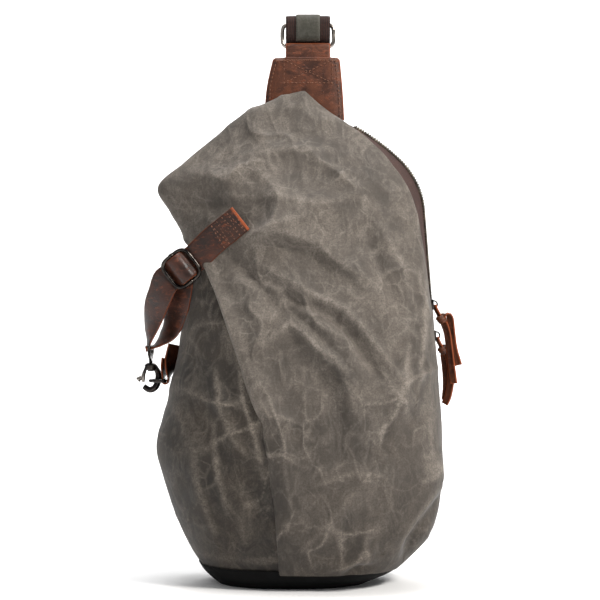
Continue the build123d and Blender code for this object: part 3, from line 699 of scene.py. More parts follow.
def base_shape():
    """The base: rings of the outline from the seam down to the floor, then rings drawn in to one
    place to close the bottom."""
    turn = np.linspace(0, 2 * np.pi, 200, endpoint=False)
    z = np.linspace(BASE_TOP + 1.0, 0.0, 14)
    wall = outline(*np.broadcast_arrays(turn[None, :], z[:, None]))
    push = 0.5 * np.sin((BASE_TOP - z) / BASE_TOP * np.pi)[:, None, None]
    wall = wall - outward(wall) * push
    shrink = np.linspace(0.93, 0.0, 16)[:, None, None]
    centre = wall[-1].mean(axis=0)
    floor = centre + (wall[-1] - centre) * shrink
    return np.concatenate([wall, floor])


rings = base_shape()
base = make_piece("nylon_base", rings, grid_faces(len(rings), 200, close_columns=True)[:, ::-1],
                  NYLON)
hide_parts("base_panel")
print("base points:", rings.size // 3)

# %% [markdown]
# The pad on the back is foam under the mesh, sewn down along two channels.

# %% Back pad


def pad_shape():
    """The back pad: a rounded rectangle laid on the back, crowned by the eighth-power falloff of its
    two coordinates, with two stitched channels pressed in."""
    u, v = np.meshgrid(np.linspace(-1, 1, 90), np.linspace(-1, 1, 110))
    x = 3 + 66 * u * (1 - 0.06 * np.abs(v) ** 6)
    z = 198 + 99 * v * (1 - 0.05 * np.abs(u) ** 6)
    left, right, _, back, _ = rows_at(z)
    across = np.clip((x - (left + right) / 2) / ((right - left) / 2), -1, 1)
    y = SEAM + (back - SEAM) * (1 - np.abs(across) ** ROUND) ** (1 / ROUND)
    crown = (1 - np.abs(u) ** 8) * (1 - np.abs(v) ** 8)
    channel = np.exp(-((np.abs(x - 3) - 22) / 2.2) ** 2)
    return np.stack([x, y + 0.5 + 3.6 * crown - 2.2 * channel * crown, z], axis=-1)


pad_grid = pad_shape()
pad = make_piece("mesh_pad", pad_grid, grid_faces(110, 90)[:, ::-1], MESH)
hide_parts("back_pad")
print("pad points:", pad_grid.size // 3)

# %% [markdown]
# ## Leather
# The trim is pull-up leather: cowhide soaked in oil and wax. Bending pushes the oil aside and leaves
# lighter, redder places, and the cut edges show the raw orange fibre. Each strap stores a number
# called edge, which is 1 at its cut edges, so that the material can find them.

# %% Leather material


def pull_up_leather(name, dark, light, raw, rough):
    """Vegetable-tanned cowhide, oiled: patchy brown, rubbed lighter, raw orange at its edges."""
    material, tree, surface, where = begin(name)
    patch = noise(tree, where, 60.0, 6.0, 0.65, 0.8)
    patch = spread(tree, patch, 0.36, 0.66)
    colour = mix(tree, patch, dark, light)
    long = stretched(tree, where, (1.0, 1.0, 2.4), 0.6)
    rub = noise(tree, long, 140.0, 6.0, 0.72, 0.5)
    rub = spread(tree, rub, 0.54, 0.76, 0.0, 0.7)
    colour = mix(tree, rub, colour, raw)
    edge = add(tree, "ShaderNodeAttribute", out="Fac", attribute_name="edge")
    edge = spread(tree, edge, 0.85, 0.99)
    colour = mix(tree, edge, colour, raw)
    # pores about 1 mm apart, over creases of 5 mm
    pores = add(tree, "ShaderNodeTexVoronoi", {"Vector": where, "Scale": 950.0}, "Distance")
    wrinkle = bump(tree, rub, 0.0006, 0.5)
    normal = bump(tree, pores, 0.0002, 0.5, wrinkle)
    fill(tree, surface, {"Base Color": colour,
                         "Roughness": spread(tree, patch, 0.0, 1.0, rough, rough + 0.15),
                         "Specular IOR Level": 0.4, "Normal": normal})
    return material


LEATHER = pull_up_leather("oiled pull-up leather", "341a0f", "653720", "8f4621", 0.42)
BURNT = pull_up_leather("oiled leather, dark under stitches", "1c0f09", "3a2014", "9c4a22", 0.5)
DEEP = pull_up_leather("oiled leather, dark side strap", "1c0c05", "472110", "8a421c", 0.36)
print("leathers:", LEATHER.name, "/", BURNT.name, "/", DEEP.name)

# %% [markdown]
# ## Straps and wires
# A strap is a flat rounded bar carried along a path. A wire is a circle carried along one. Both need
# a direction across the path at each point, which is made square to the path by taking out the part
# that points along it.

# %% Strap and wire helpers
STRAP_X, STRAP_WIDTH = 7.0, 39.0        # the shoulder strap's middle, and its width


def side_path(path):
    """Points y, z of the side view as points in space, on the shoulder strap's middle line."""
    return np.stack([np.full(len(path), STRAP_X), path[:, 0], path[:, 1]], axis=1)


def unit(v):
    """Vectors of length 1."""
    return v / np.maximum(np.linalg.norm(v, axis=-1, keepdims=True), 1e-9)


def strap(centres, across, width, thick, columns=14, bow=0.0):
    """A flat bar along a path. Its outline is the width times u across and the thickness up, thinner
    towards u = 1 by the twelfth power, and bowed by 1 minus u squared. Returns points, faces and edge,
    which falls from 1 at the cut edge to 0 at 8 mm from it."""
    centres = np.asarray(centres, float)
    count = len(centres)
    across = np.broadcast_to(np.asarray(across, float), centres.shape)
    way = unit(np.gradient(centres, axis=0))
    across = unit(across - way * np.sum(across * way, axis=1, keepdims=True))
    up = np.cross(across, way)
    u = np.linspace(-1, 1, columns)
    rise = thick / 2 * (1 - 0.4 * np.abs(u) ** 12)
    sides = np.concatenate([u, u[::-1]])[None, :, None]
    levels = np.concatenate([rise, -rise])[None, :, None] + bow * (1 - sides**2)
    half = np.broadcast_to(np.asarray(width, float) / 2, count)[:, None, None]
    points = centres[:, None] + across[:, None] * sides * half + up[:, None] * levels
    faces = grid_faces(count, 2 * columns, False, True)
    k = np.arange(columns - 1)
    first = np.stack([k, k + 1, 2 * columns - 2 - k, 2 * columns - 1 - k], 1)
    edge = np.clip(1 - (1 - np.abs(sides[0, :, 0]))[None] * half[..., 0] / 8, 0, 1)
    edge[:1], edge[-1:] = 1.0, 1.0
    last = first[:, ::-1] + (count - 1) * 2 * columns
    faces = np.concatenate([faces, first[:, ::-1], last[:, ::-1]])[:, ::-1]
    return points.reshape(-1, 3), faces, edge.ravel()


def tube(path, radius, square_to, sides=12, closed=False):
    """A wire along a path: circles of that radius, square to the path. square_to is a direction that
    is never along the path. An open wire's ends are drawn in to a point."""
    path = np.asarray(path, float)
    radius = np.broadcast_to(np.asarray(radius, float), len(path))
    if closed:
        way = unit(np.roll(path, -1, axis=0) - np.roll(path, 1, axis=0))
    else:
        way = unit(np.gradient(path, axis=0))
        path = np.concatenate([path[:1], path, path[-1:]])
        way = np.concatenate([way[:1], way, way[-1:]])
        radius = np.concatenate([[0.01], radius, [0.01]])
    side = unit(np.cross(way, np.asarray(square_to, float)))
    other = np.cross(way, side)
    turn = np.linspace(0, 2 * np.pi, sides, endpoint=False)[None, :, None]
    ring = side[:, None] * np.cos(turn) + other[:, None] * np.sin(turn)
    points = path[:, None] + ring * radius[:, None, None]
    return points.reshape(-1, 3), grid_faces(len(path), sides, closed, True)


def rounded(corners, radius, steps=8):
    """A closed path through corners, each cut by an arc-like curve that starts and ends one radius
    away: the corner, weighted by 2t(1-t), between those two points."""
    p = np.asarray(corners, float)
    before, after = unit(np.roll(p, 1, axis=0) - p), unit(np.roll(p, -1, axis=0) - p)
    t = np.linspace(0, 1, steps)[None, :, None]
    start, end = (p + before * radius)[:, None], (p + after * radius)[:, None]
    return ((1 - t) ** 2 * start + 2 * t * (1 - t) * p[:, None] + t**2 * end).reshape(-1, 3)


print("straps are", STRAP_WIDTH, "mm wide")

# %% [markdown]
# A stitch is a short bead of thread, half sunk in the leather. The zipper's teeth are made by the
# same function, as fuller beads of metal.

# %% Stitches and thread


def beads(centres, way, up, size):
    """One small rounded block at each centre: an ellipsoid's rings, five along and six round, pushed
    out to the power 0.7 so that it is fuller. size is its half length, width and height."""
    way, up = unit(way), unit(up)
    side = np.cross(way, up)
    t = np.linspace(-1, 1, 5)
    ring = np.maximum(1 - t**2, 0.02) ** 0.35
    turn = np.linspace(0, 2 * np.pi, 6, endpoint=False)
    a = np.broadcast_to(t[:, None], (5, 6)) * size[0]
    b = ring[:, None] * np.cos(turn) * size[1]
    c = ring[:, None] * np.sin(turn) * size[2]
    shape = [m.ravel()[None, :, None] for m in (a, b, c)]
    points = centres[:, None] + way[:, None] * shape[0] + side[:, None] * shape[1] + up[:, None] * shape[2]
    caps = [[0, 1, 2, 3], [0, 3, 4, 5], [27, 26, 25, 24], [29, 28, 27, 24]]
    one = np.concatenate([grid_faces(5, 6, False, True), caps])
    faces = one[None] + (np.arange(len(centres)) * 30)[:, None, None]
    return points.reshape(-1, 3), faces.reshape(-1, 4)


def stitches(line, up, pitch=3.2, length=2.3, width=0.42):
    """Stitches along a line: one bead per pitch, lying along the line."""
    path = along(line, 200)
    total = np.linalg.norm(np.diff(path, axis=0), axis=1).sum()
    path = along(line, max(3, int(total / pitch)))
    return beads(path, np.gradient(path, axis=0), np.broadcast_to(np.asarray(up, float), path.shape),
                 (length / 2, width, width))


def waxed_thread(name, colour):
    """Bonded polyester thread: two twisted plies, drawn as stripes 1 mm apart."""
    material, tree, surface, where = begin(name)
    ply = stripes(tree, where, 310.0, "DIAGONAL", 0.5)
    share = spread(tree, ply, 0.0, 1.0, 0.0, 0.6)
    fill(tree, surface, {"Base Color": mix(tree, share, colour, "1d130e"), "Roughness": 0.55})
    return material


RUST_THREAD = waxed_thread("bonded thread, rust", "865339")
print("thread ready:", RUST_THREAD.name)

# %% [markdown]
# ## The yoke
# Two trapezoids of leather hold the ring loop between them. They are sewn together round their rims,
# so each is a plate that stands off in its middle and comes in at its edges. A box with a cross of
# stitches locks the loop.

# %% Yoke
YOKE_LEFT = [(-31.3, 400), (-31.0, 410), (-29.0, 430), (-24.6, 450), (-23.2, 454.6)]
YOKE_RIGHT = [(39.4, 390), (38.8, 402), (37.5, 425), (35.5, 448), (34.6, 454.6)]
YOKE_Y = 22.85


def yoke_plate(front_side):
    """One leather plate: between its left and right curves, standing off by 1 minus u to the eighth."""
    left, right, z = along(YOKE_LEFT, 90), along(YOKE_RIGHT, 90), np.linspace(400, 454.6, 60)
    left, right = np.interp(z, left[:, 1], left[:, 0]), np.interp(z, right[:, 1], right[:, 0])
    shy = 2.2 * np.clip((z - 451.5) / 3.1, 0, 1) ** 3
    width, x_mid = right - left - 2 * shy, np.repeat((left + right) / 2, 80)
    way = -1.0 if front_side else 1.0
    centres = np.stack([0 * z, np.full(60, YOKE_Y + way * 4.75), z], axis=1)
    points, faces, edge = strap(centres, (1, 0, 0), width, 1.8, 40)
    points[:, 0] += x_mid
    u = (points[:, 0] - x_mid) / np.repeat(width / 2, 80)
    top = np.clip((points[:, 2] - 448) / 7, 0, 1) ** 2 * (np.abs(points[:, 0] - 7) > 20.5)
    points[:, 1] -= way * 3.2 * np.maximum(np.abs(u) ** 8, top)
    return points, faces, edge


for front_side, name in ((True, "yoke_front"), (False, "yoke_back")):
    points, faces, edge = yoke_plate(front_side)
    plate = make_piece(name + "_leather", points, faces, LEATHER, values={"edge": edge})
    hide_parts(name)

face_y = YOKE_Y - 4.75 - 1.0
rim = [(-26.6, face_y + 0.35, 408), (-25.6, face_y + 0.35, 430), (-20.6, face_y + 0.3, 451)]
rim_right = [(31.2, face_y + 0.3, 451), (33.6, face_y + 0.35, 428), (35.2, face_y + 0.35, 404)]
box = [(-14, 432), (28, 432), (28, 452), (-14, 452)]
seams = [stitches(rim, (0, -1, 0)), stitches(rim_right, (0, -1, 0))]
for a, b in ((0, 1), (1, 2), (2, 3), (3, 0), (0, 2), (1, 3)):
    ends = [(box[a][0], face_y, box[a][1]), (box[b][0], face_y, box[b][1])]
    seams.append(stitches([ends[0], np.mean(ends, axis=0), ends[1]], (0, -1, 0)))
top_rim = [(-20, face_y + 0.2, 451.6), (7, face_y, 452), (31, face_y + 0.2, 451.6)]
seams.append(stitches(top_rim, (0, -1, 0)))
points, faces = join(seams)
make_piece("yoke_stitches", points, faces, RUST_THREAD)
print("yoke stitches:", len(faces))

# %% [markdown]
# The ring loop is one strip: up between the plates, over the ring's lower bar and down again. Where
# it bends over the bar the leather is stretched and shows its raw colour.

# %% Ring loop
loop_turn = np.linspace(np.pi, 0, 11)
loop_path = [(YOKE_Y - 2.85, 418), (YOKE_Y - 2.85, 440), (YOKE_Y - 2.9, 458)]
loop_path += [(YOKE_Y + 2.85 * np.cos(t), 464 + 2.85 * np.sin(t)) for t in loop_turn]
loop_path += [(YOKE_Y + 2.9, 458), (YOKE_Y + 2.85, 440), (YOKE_Y + 2.85, 418)]
path = along(loop_path, 90)
points, faces, edge = strap(side_path(path), (1, 0, 0), STRAP_WIDTH, 1.6, 20)
edge = np.maximum(edge, 0.97 * np.exp(-((points[:, 2] - 467.5) / 3.2) ** 2))
loop = make_piece("ring_loop_leather", points, faces, LEATHER, values={"edge": edge})
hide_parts("ring_loop")
print("loop length", round(float(np.linalg.norm(np.diff(path, axis=0), axis=1).sum())), "mm")

# %% [markdown]
# ## Metal
# The buckle and the hook are zinc with a black nickel plate. The two rings and the hook's lever are
# steel with a bright one. Plate is smooth and mirrors the room. It wears to a warmer grey in patches,
# which makes the shine uneven.

# %% Plated metal


def plated(name, colour, worn, rough):
    """Electroplated nickel over zinc: a metal with faint waves and rubbed patches 3 mm across."""
    material, tree, surface, where = begin(name)
    wear = noise(tree, where, 120.0, 2.0)
    wear = spread(tree, wear, 0.4, 0.72)
    colour = mix(tree, wear, colour, worn)
    wave = noise(tree, where, 500.0)
    fill(tree, surface, {"Base Color": colour, "Metallic": 1.0,
                         "Roughness": spread(tree, wear, 0.0, 1.0, rough, rough + 0.2),
                         "Normal": bump(tree, wave, 0.0001, 0.3)})
    return material


GUNMETAL = plated("black nickel plate on zinc", "2a2726", "5a544f", 0.18)
NICKEL = plated("bright nickel plate on steel", "8d8781", "b9b1a8", 0.16)
TOOTH = plated("antique nickel zipper teeth", "5a534b", "9d9283", 0.36)
print("metals:", GUNMETAL.name, "/", NICKEL.name, "/", TOOTH.name)

# %% [markdown]
# The two rings of the shoulder strap are bent from one wire, with round corners.

# %% Rings
WIRE = 3.5
HALF_RING = (41.6 + WIRE) / 2
AROUND = ((-1, -1), (1, -1), (1, 1), (-1, 1))       # the corners of a rectangle, in order


def ring_piece(name, node, body, low, high, material):
    """A rounded rectangular ring of wire between two bars, given as y and z."""
    corners = [(STRAP_X + side * HALF_RING, *(high if level > 0 else low)) for side, level in AROUND]
    points, faces = tube(rounded(corners, 7.0), WIRE / 2, (0.05, 1, 0.05), 14, closed=True)
    ring = make_piece(name, points, faces, material, body)
    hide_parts(node)


ring_piece("top_ring_wire", "top_ring", "strap_ring", (22.85, 464.0), (24.5, 484.5), NICKEL)
ring_piece("lower_ring_wire", "lower_ring", "foot_ring", (57.0, 60.0), (57.0, 82.0), NICKEL)
print("ring width", 2 * HALF_RING, "mm")

# %% [markdown]
# The side strap's buckle lies askew on the front. Three directions belong to it: the way the strap
# runs, across it, and up from its face. Its frame is thicker where the bar is riveted in.

# %% Buckle frame
BUCKLE_AT = np.array([-100.5, -33.0, 268.5])
WAY = unit(np.array([-0.78, 0.12, -0.61]))
ACROSS = np.array([-0.61, 0.0, 0.79])
ACROSS = unit(ACROSS - WAY * ACROSS.dot(WAY))
UP = -np.cross(WAY, ACROSS)


def at_buckle(forward, up, across=0.0):
    """A place in the buckle's own directions."""
    return BUCKLE_AT + WAY * forward + UP * up + ACROSS * across


HALF_L, HALF_W = 13.0, 13.8
corners = [at_buckle(a * HALF_L, 0, b * HALF_W) for a, b in AROUND]
points, faces = tube(rounded(corners, 8.5), 1.65, UP, 14, closed=True)
frame_wire = make_piece("buckle_frame_wire", points, faces, GUNMETAL)
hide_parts("buckle_frame")
knuckles = [tube(np.stack([at_buckle(-1.8, 0, side), at_buckle(1.8, 0, side)]), 2.1, UP, 12)
            for side in (-HALF_W, HALF_W)]
points, faces = join(knuckles)
make_piece("buckle_knuckles", points, faces, GUNMETAL)
print("buckle frame", 2 * HALF_L, "by", 2 * HALF_W, "mm")

# %% [markdown]
# ## The side strap
# One strip of leather is sewn to the front, runs under and over the buckle's bar, down to the hook's
# eye, and back up to the bar, where it ends in a sleeve. It is one path with a direction across it.

# %% Side strap
EYE = np.array([-129.8, 8.0, 202.0])
ARC = 2.7


def on_front(x, z, lift):
    """A place just off the front, clear of it over the strap's width."""
    steps = np.array([-12.0, 0.0, 12.0])
    xs, zs = x + ACROSS[0] * steps, z + ACROSS[2] * steps
    return np.array([x, outline(front_turn(xs, zs), zs)[:, 1].min() - lift, z])


# from the patch, over the buckle's bar, down to the eye
stations = [(on_front(x, z, 3.0), ACROSS) for x, z in ((-50, 310.5), (-62, 301), (-74, 291.5))]
RISE = [(-17, -2.6), (-13, -3), (-10.2, -2.9), (-6.6, 1.2), (-4.4, 3.7),
        (0, 4.9), (4.4, 3.7), (6.6, 1.2), (10.2, -2.9), (13, -3)]
stations += [(at_buckle(a, u), ACROSS) for a, u in RISE]
stations += [(at_buckle(18, -2.6), (-.75, .1, .6)), ((-119.5, -23, 246), (-.8, .4, .45)),
             ((-124, -15, 236), (-.75, .5, .4)), ((-127.5, -7, 226), (-.62, .7, .3)),
             ((-131.4, 2, 213), (-.35, .93, .1))]
# round the eye, and back up to the bar
turns = np.radians(np.arange(180, 361, 30))
stations += [((EYE[0] + ARC * np.cos(t), 8, EYE[2] + ARC * np.sin(t)), (0, 1, 0)) for t in turns]
stations += [((-121, 4.5, 208.5), (-.35, .93, .1)), ((-112.3, -2, 218), (-.6, .7, .3)),
             ((-106.3, -11, 231.5), (-.7, .55, .42)), ((-103, -19.5, 245), (-.75, .4, .5)),
             (at_buckle(2.5, -9), (-.75, .1, .6)), (at_buckle(-2.6, -3.5), ACROSS)]
turns = np.radians(np.arange(180, 29, -30))
stations += [(at_buckle(2.6 * np.cos(t), 2.6 * np.sin(t)), ACROSS) for t in turns]
table = np.array([(*place, *(6 * unit(np.asarray(across, float)))) for place, across in stations], float)
line = along(table, 260)
points, faces, edge = strap(line[:, :3], line[:, 3:], 24.0, 2.0, 16)
side_strap = make_piece("side_strap_leather", points, faces, DEEP,
                        values={"edge": edge * 0.93})
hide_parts("side_strap")
print("side strap runs through", len(stations), "places")

# %% [markdown]
# A darker patch covers the sewn end of the strap. Rows of stitches cross it, and its cut end is rubbed
# to the raw colour.

# %% Patch and its stitches
patch_line = np.array([on_front(-49.6, 310.8, 4.7), on_front(-61.5, 301.4, 4.7), on_front(-71, 293.9, 4.7)])
points, faces, edge = strap(along(patch_line, 40), ACROSS, 23.4, 1.1, 16)
away = (points - patch_line[0]) @ unit(patch_line[2] - patch_line[0])
edge = np.maximum(edge * 0.8, np.clip(1.15 - away / 9, 0, 1))
patch = make_piece("side_strap_patch", points, faces, BURNT, values={"edge": edge})
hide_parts("strap_patch")


def patch_seams():
    """Nine rows of stitches across the patch, each leaning the other way from the last."""
    ahead, lift = unit(patch_line[2] - patch_line[0]), np.array([0, -0.62, 0])
    rows = []
    for k, step in enumerate(np.linspace(2.5, 25.5, 9)):
        middle = patch_line[0] + ahead * step + lift
        lean = ahead * (1.3 if k % 2 else -1.3)
        row = [middle - ACROSS * 10 - lean, middle, middle + ACROSS * 10 + lean]
        rows.append(stitches(row, (0, -1, 0), 2.6, 1.9, 0.4))
    return join(rows)


points, faces = patch_seams()
make_piece("patch_stitches", points, faces, RUST_THREAD)
print("patch stitch faces:", len(faces))

# %% [markdown]
# ## Shoulder strap
# Cotton webbing is woven flat with ribs along it. It folds over the ring's top bar, where a strip of
# the bag's canvas is sewn along its middle. Behind the bag it runs down to the lower ring. A slide
# sets its length, and a leather tab sewn to the back holds the lower ring.

# %% Webbing material


def webbing_material(name, dark, light):
    """Cotton webbing: ribs 1.6 mm apart along the strap, over a cross grain of 1.1 mm."""
    material, tree, surface, where = begin(name)
    rib = stripes(tree, where, 196.0, "X", 0.4)
    cross = stripes(tree, where, 285.0, "Z", 1.0)
    height = add(tree, "ShaderNodeMath", {0: rib, 1: cross}, operation="MULTIPLY")
    blotch = noise(tree, where, 90.0, 4.0)
    share = add(tree, "ShaderNodeMath", {0: height, 1: blotch}, operation="MULTIPLY")
    share = spread(tree, share, 0.0, 0.5)
    fill(tree, surface, {"Base Color": mix(tree, share, dark, light), "Roughness": 0.85,
                         "Normal": bump(tree, height, 0.0005, 0.8)})
    return material


WEBBING = webbing_material("cotton webbing", "180a06", "452014")
STRIPE = waxed_canvas("waxed cotton strip", "33322b", "4e4c43", "75726a")
print("webbing ready:", WEBBING.name)

# %% [markdown]
# The strap's path is drawn in the side view, as y and z: a short end in front, over the ring, then
# down behind the bag and round the lower ring. The canvas strip lies on its outer face.

# %% Strap and stripe
LOW_BAR, SLACK = (57.0, 82.0), 4.4
TOP_TURN, TOP_RADIUS = (24.5, 485.6), 5.2
WEB_ROWS = 420


def wrap(centre, radius, start, end, count=9):
    """Points of an arc in the side view, in degrees above +Y."""
    t = np.radians(np.linspace(start, end, count))
    return [(centre[0] + radius * math.cos(a), centre[1] + radius * math.sin(a)) for a in t]


short_end = [(31, 438), (30.9, 455), (29.7, 464), (26.4, 470.6), (21.8, 474), (20, 479)]
down = [(30.3, 478), (33, 470), (34.2, 460), (34.6, 440), (38, 415), (47, 370), (53, 325),
        (54, 290), (54, 230), (54, 160), (54, 130), (53.4, 112), (53, 95)]
web_line = short_end + wrap(TOP_TURN, TOP_RADIUS, 180, 0) + down
web_line += wrap(LOW_BAR, SLACK, 180, 360) + [(60, 95), (58.2, 110), (58, 128)]
path = along(web_line, WEB_ROWS)
points, faces, edge = strap(side_path(path), (1, 0, 0), STRAP_WIDTH, 2.2, 20)
webbing = make_piece("shoulder_webbing", points, faces, WEBBING, values={"edge": edge})
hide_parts("shoulder_strap")
way = unit(np.gradient(path, axis=0))
off = path + 1.8 * np.stack([-way[:, 1], way[:, 0]], axis=1)
first = int(np.argmax(path[:, 1] > 471))
last = int(np.argmax((path[:, 1] < 262) & (np.arange(WEB_ROWS) > first)))
points, faces, edge = strap(side_path(off[first:last]), (1, 0, 0), 21.0, 1.2, 14)
stripe = make_piece("strap_stripe_canvas", points, faces, STRIPE,
                    values={"crease": 0.3 * (edge > 0.9)})
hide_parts("strap_stripe")
print("strap runs", round(float(np.linalg.norm(np.diff(along(web_line, 900), axis=0), axis=1).sum())), "mm")

# %% [markdown]
# Two leather tabs hold metal to the bag: a wide one holds the lower ring, and a narrow one at the left
# side holds the small ring that the hook clips into. It twists a little as it leaves the seam.

# %% Ring tabs
tab_line = [(46.4, 30), (47, 42), (50.5, 54)] + wrap((57, 60), 2.85, 200, -20)
tab_line += [(56, 52), (52, 42), (49, 30)]
path = along(tab_line, 70)
points, faces, edge = strap(side_path(path), (1, 0, 0), STRAP_WIDTH, 1.6, 16)
lower_tab = make_piece("lower_tab_leather", points, faces, LEATHER, values={"edge": edge})
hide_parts("lower_tab")

d_line = [(-107.6, 203), (-110.8, 190), (-113.6, 178)] + wrap((-116.8, 172), 2.6, 0, -180)
d_line += [(-118.3, 176.5), (-116.2, 184), (-113.8, 190)]
path = along(d_line, 60)
centres = np.stack([path[:, 0], np.full(60, SEAM), path[:, 1]], axis=1)
twist = 0.75 * np.clip((path[:, 1] - 174) / 16, 0, 1)
across = np.stack([twist, 1 - 0.4 * twist, np.zeros(60)], axis=1)
points, faces, edge = strap(centres, across, 18.0, 1.6, 12)
d_tab = make_piece("side_tab_leather", points, faces, DEEP, values={"edge": edge})
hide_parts("d_ring_tab")
print("small tab reaches x", round(float(points[:, 0].min()), 1))

# %% [markdown]
# ## The zipper
# A metal zipper runs up the right side and over the shoulder of the bag. Its line is straight, then
# bends along two arcs. Woven tape joins it to the canvas. The teeth are two rows that alternate, each
# tooth a small rounded block clamped on the tape.

# %% Zipper line
LEAN = math.atan2(122.0 - 108.9, 318.0 - 150.0)
ARCS = [(72.0, math.radians(42.5)), (200.0, math.radians(14.8))]


def zip_line(off, count, cut=0.0):
    """Points x, z of the zipper's line, moved off outwards: a straight run, an arc of 72 mm about a
    centre to its left, and a flatter arc of 200 mm that carries on in the same direction."""
    out = np.array([math.cos(LEAN), math.sin(LEAN)])
    foot, bend = np.array([122.0, 150.0]), np.array([108.9, 318.0])
    runs = [foot + out * off + (bend - foot) * np.linspace(0, 1, 60, endpoint=False)[:, None]]
    start, centre = LEAN, bend - out * ARCS[0][0]
    for k, (radius, turn) in enumerate(ARCS):
        if k:
            centre = centre + np.array([math.cos(start), math.sin(start)]) * (ARCS[k - 1][0] - radius)
        a = start + np.linspace(0, turn, 40)[:, None]
        runs.append(centre + (radius + off) * np.concatenate([np.cos(a), np.sin(a)], axis=1))
        start += turn
    path = np.concatenate(runs)
    length = np.concatenate([[0], np.cumsum(np.linalg.norm(np.diff(path, axis=0), axis=1))])
    at = np.linspace(0, length[-1] - cut, count)
    return np.stack([np.interp(at, length, path[:, k]) for k in range(2)], axis=1)


zip_length = np.linalg.norm(np.diff(zip_line(0.0, 300), axis=0), axis=1).sum()
print("zipper length", round(float(zip_length)), "mm")

# %% [markdown]
# Each tape is woven, and slopes from under a canvas edge to the teeth.

# %% Tape


def tape_material(name):
    """Woven polyester tape: herringbone drawn as slanting ribs 1 mm apart."""
    material, tree, surface, where = begin(name)
    rib = stripes(tree, where, 310.0, "DIAGONAL", 0.6)
    blotch = noise(tree, where, 120.0, 3.0)
    share = add(tree, "ShaderNodeMath", {0: rib, 1: blotch}, operation="MULTIPLY")
    fill(tree, surface, {"Base Color": mix(tree, share, "2a1915", "5c3e35"), "Roughness": 0.8,
                         "Normal": bump(tree, rib, 0.0002, 0.6)})
    return material


TAPE = tape_material("woven zipper tape")
ROWS, CHAIN_LEAN = 160, math.radians(32)


def chain(off, count, cut=0.0):
    """The middle of the chain in space, with the direction from its front row to its back row, and the
    one its teeth face. On the straight run the rows lie one behind the other. Over the shoulder the
    chain leans 32 degrees to the front, so that both rows show."""
    path = zip_line(off, count, cut)
    way = unit(np.gradient(path, axis=0))
    out = np.stack([way[:, 1], 0 * way[:, 0], -way[:, 0]], axis=1)
    share, back = np.clip((path[:, 1:] - 316) / 18, 0, 1), np.array([0.0, 1.0, 0.0])
    middle = np.stack([path[:, 0], np.full(count, SEAM), path[:, 1]], axis=1)
    middle = middle + share * (0.3 * out - 1.2 * back)
    lean = CHAIN_LEAN * share
    return middle, back * np.cos(lean) + out * np.sin(lean), out * np.cos(lean) - back * np.sin(lean)


middle, between, _ = chain(-1.6, ROWS)


def tape_side(edge_points, side, sink):
    """One tape: from under the canvas edge, sunk below it, to the teeth, in a straight slope."""
    t = np.linspace(0, 1, 9)[None, :, None]
    end = middle + side * between
    inward = np.array([-1.0, 0.0, -0.3])
    return edge_points[:, None] * (1 - t) + end[:, None] * t + inward * sink * (1 - t)


heights = middle[:, 2]
front_edge = outline(zip_turn(heights) - 0.05, heights)
back_edge = outline(2 * np.pi + seam_turn(heights), heights)
for name, node, grid in (("tape_front_cloth", "zip_tape_front", tape_side(front_edge, -0.5, 1.4)),
                         ("tape_back_cloth", "zip_tape_back", tape_side(back_edge, 0.2, 0.4)[:, ::-1])):
    tape = make_piece(name, grid, grid_faces(ROWS, 9)[:, ::-1], TAPE)
    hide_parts(node)
print("tape points:", grid.size // 3, "on each side")

# %% [markdown]
# A tooth is one bead, lying across the chain. The back row is shifted by half a pitch.

# %% Teeth
PITCH = 2.4     # coarser than a real chain's 2 mm, so that single teeth show
TOOTH_SIZE = (1.55, 0.82, 1.35)     # half its length, width and height
TOOTH_ROWS = (("teeth_front_row", "zip_teeth_front", -1.1, 0.0),
              ("teeth_back_row", "zip_teeth_back", 1.1, 0.5))
middle, between, facing = chain(-0.9, 600, 3.0)
length = np.concatenate([[0], np.cumsum(np.linalg.norm(np.diff(middle, axis=0), axis=1))])
for name, node, side, shift in TOOTH_ROWS:
    at = np.arange(7.5 + shift * PITCH, length[-1], PITCH)
    place, across, up = (np.stack([np.interp(at, length, v[:, k]) for k in range(3)], axis=1)
                         for v in (middle, between, facing))
    points, faces = beads(place + side * across, across, up, TOOTH_SIZE)
    row = make_piece(name, points, faces, TOOTH, smooth=False)
    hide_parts(node)
print("teeth in a row:", len(at))

# %% [markdown]
# ## Pulls
# Each slider has a leather thong through its wire bail: a strip folded in two and knotted, with loose
# tails. A knot is a short thick coil, made as a tube along a small ring with a bulging radius.

# %% Thongs


def thong(name, node, body, bail, knot, tails):
    """Two legs from the bail to the knot, three turns of leather round it, and the tails."""
    parts, edges = [], []
    for side in (-1.6, 1.6):
        leg = [(bail[0] + 0.2, bail[1] + side * 0.4, bail[2] - 0.4),
               (bail[0] + 1.3, bail[1] + side, bail[2] - 4), knot]
        p, f, e = strap(along(leg, 14), (0.5, -0.8, 0.2), 4.4, 1.8, 6)
        parts.append((p, f))
        edges.append(e)
    t = np.linspace(0, 6 * np.pi, 70)
    axis = unit(np.array([0.5, 0.0, -0.85]))
    u, v = np.array([0.85, 0.0, 0.5]), np.array([0.0, 1.0, 0.0])
    coil = np.asarray(knot) + axis * (t[:, None] / (6 * np.pi) - 0.5) * 5.5
    coil = coil + 2.5 * (u * np.cos(t)[:, None] + v * np.sin(t)[:, None])
    parts.append(tube(coil, 1.7 + 0.3 * np.sin(t * 0.7), axis, 8))
    edges.append(np.full(len(parts[-1][0]), 0.55))
    for line, width in tails:
        p, f, e = strap(along(line, 26), (0.85, -0.5, 0.1), width, 2.0, 8, bow=0.6)
        parts.append((p, f))
        edges.append(e)
    points, faces = join(parts)
    piece = make_piece(name, points, faces, LEATHER, body, {"edge": np.concatenate(edges)})
    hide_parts(node)
    print(name, "points:", len(points))


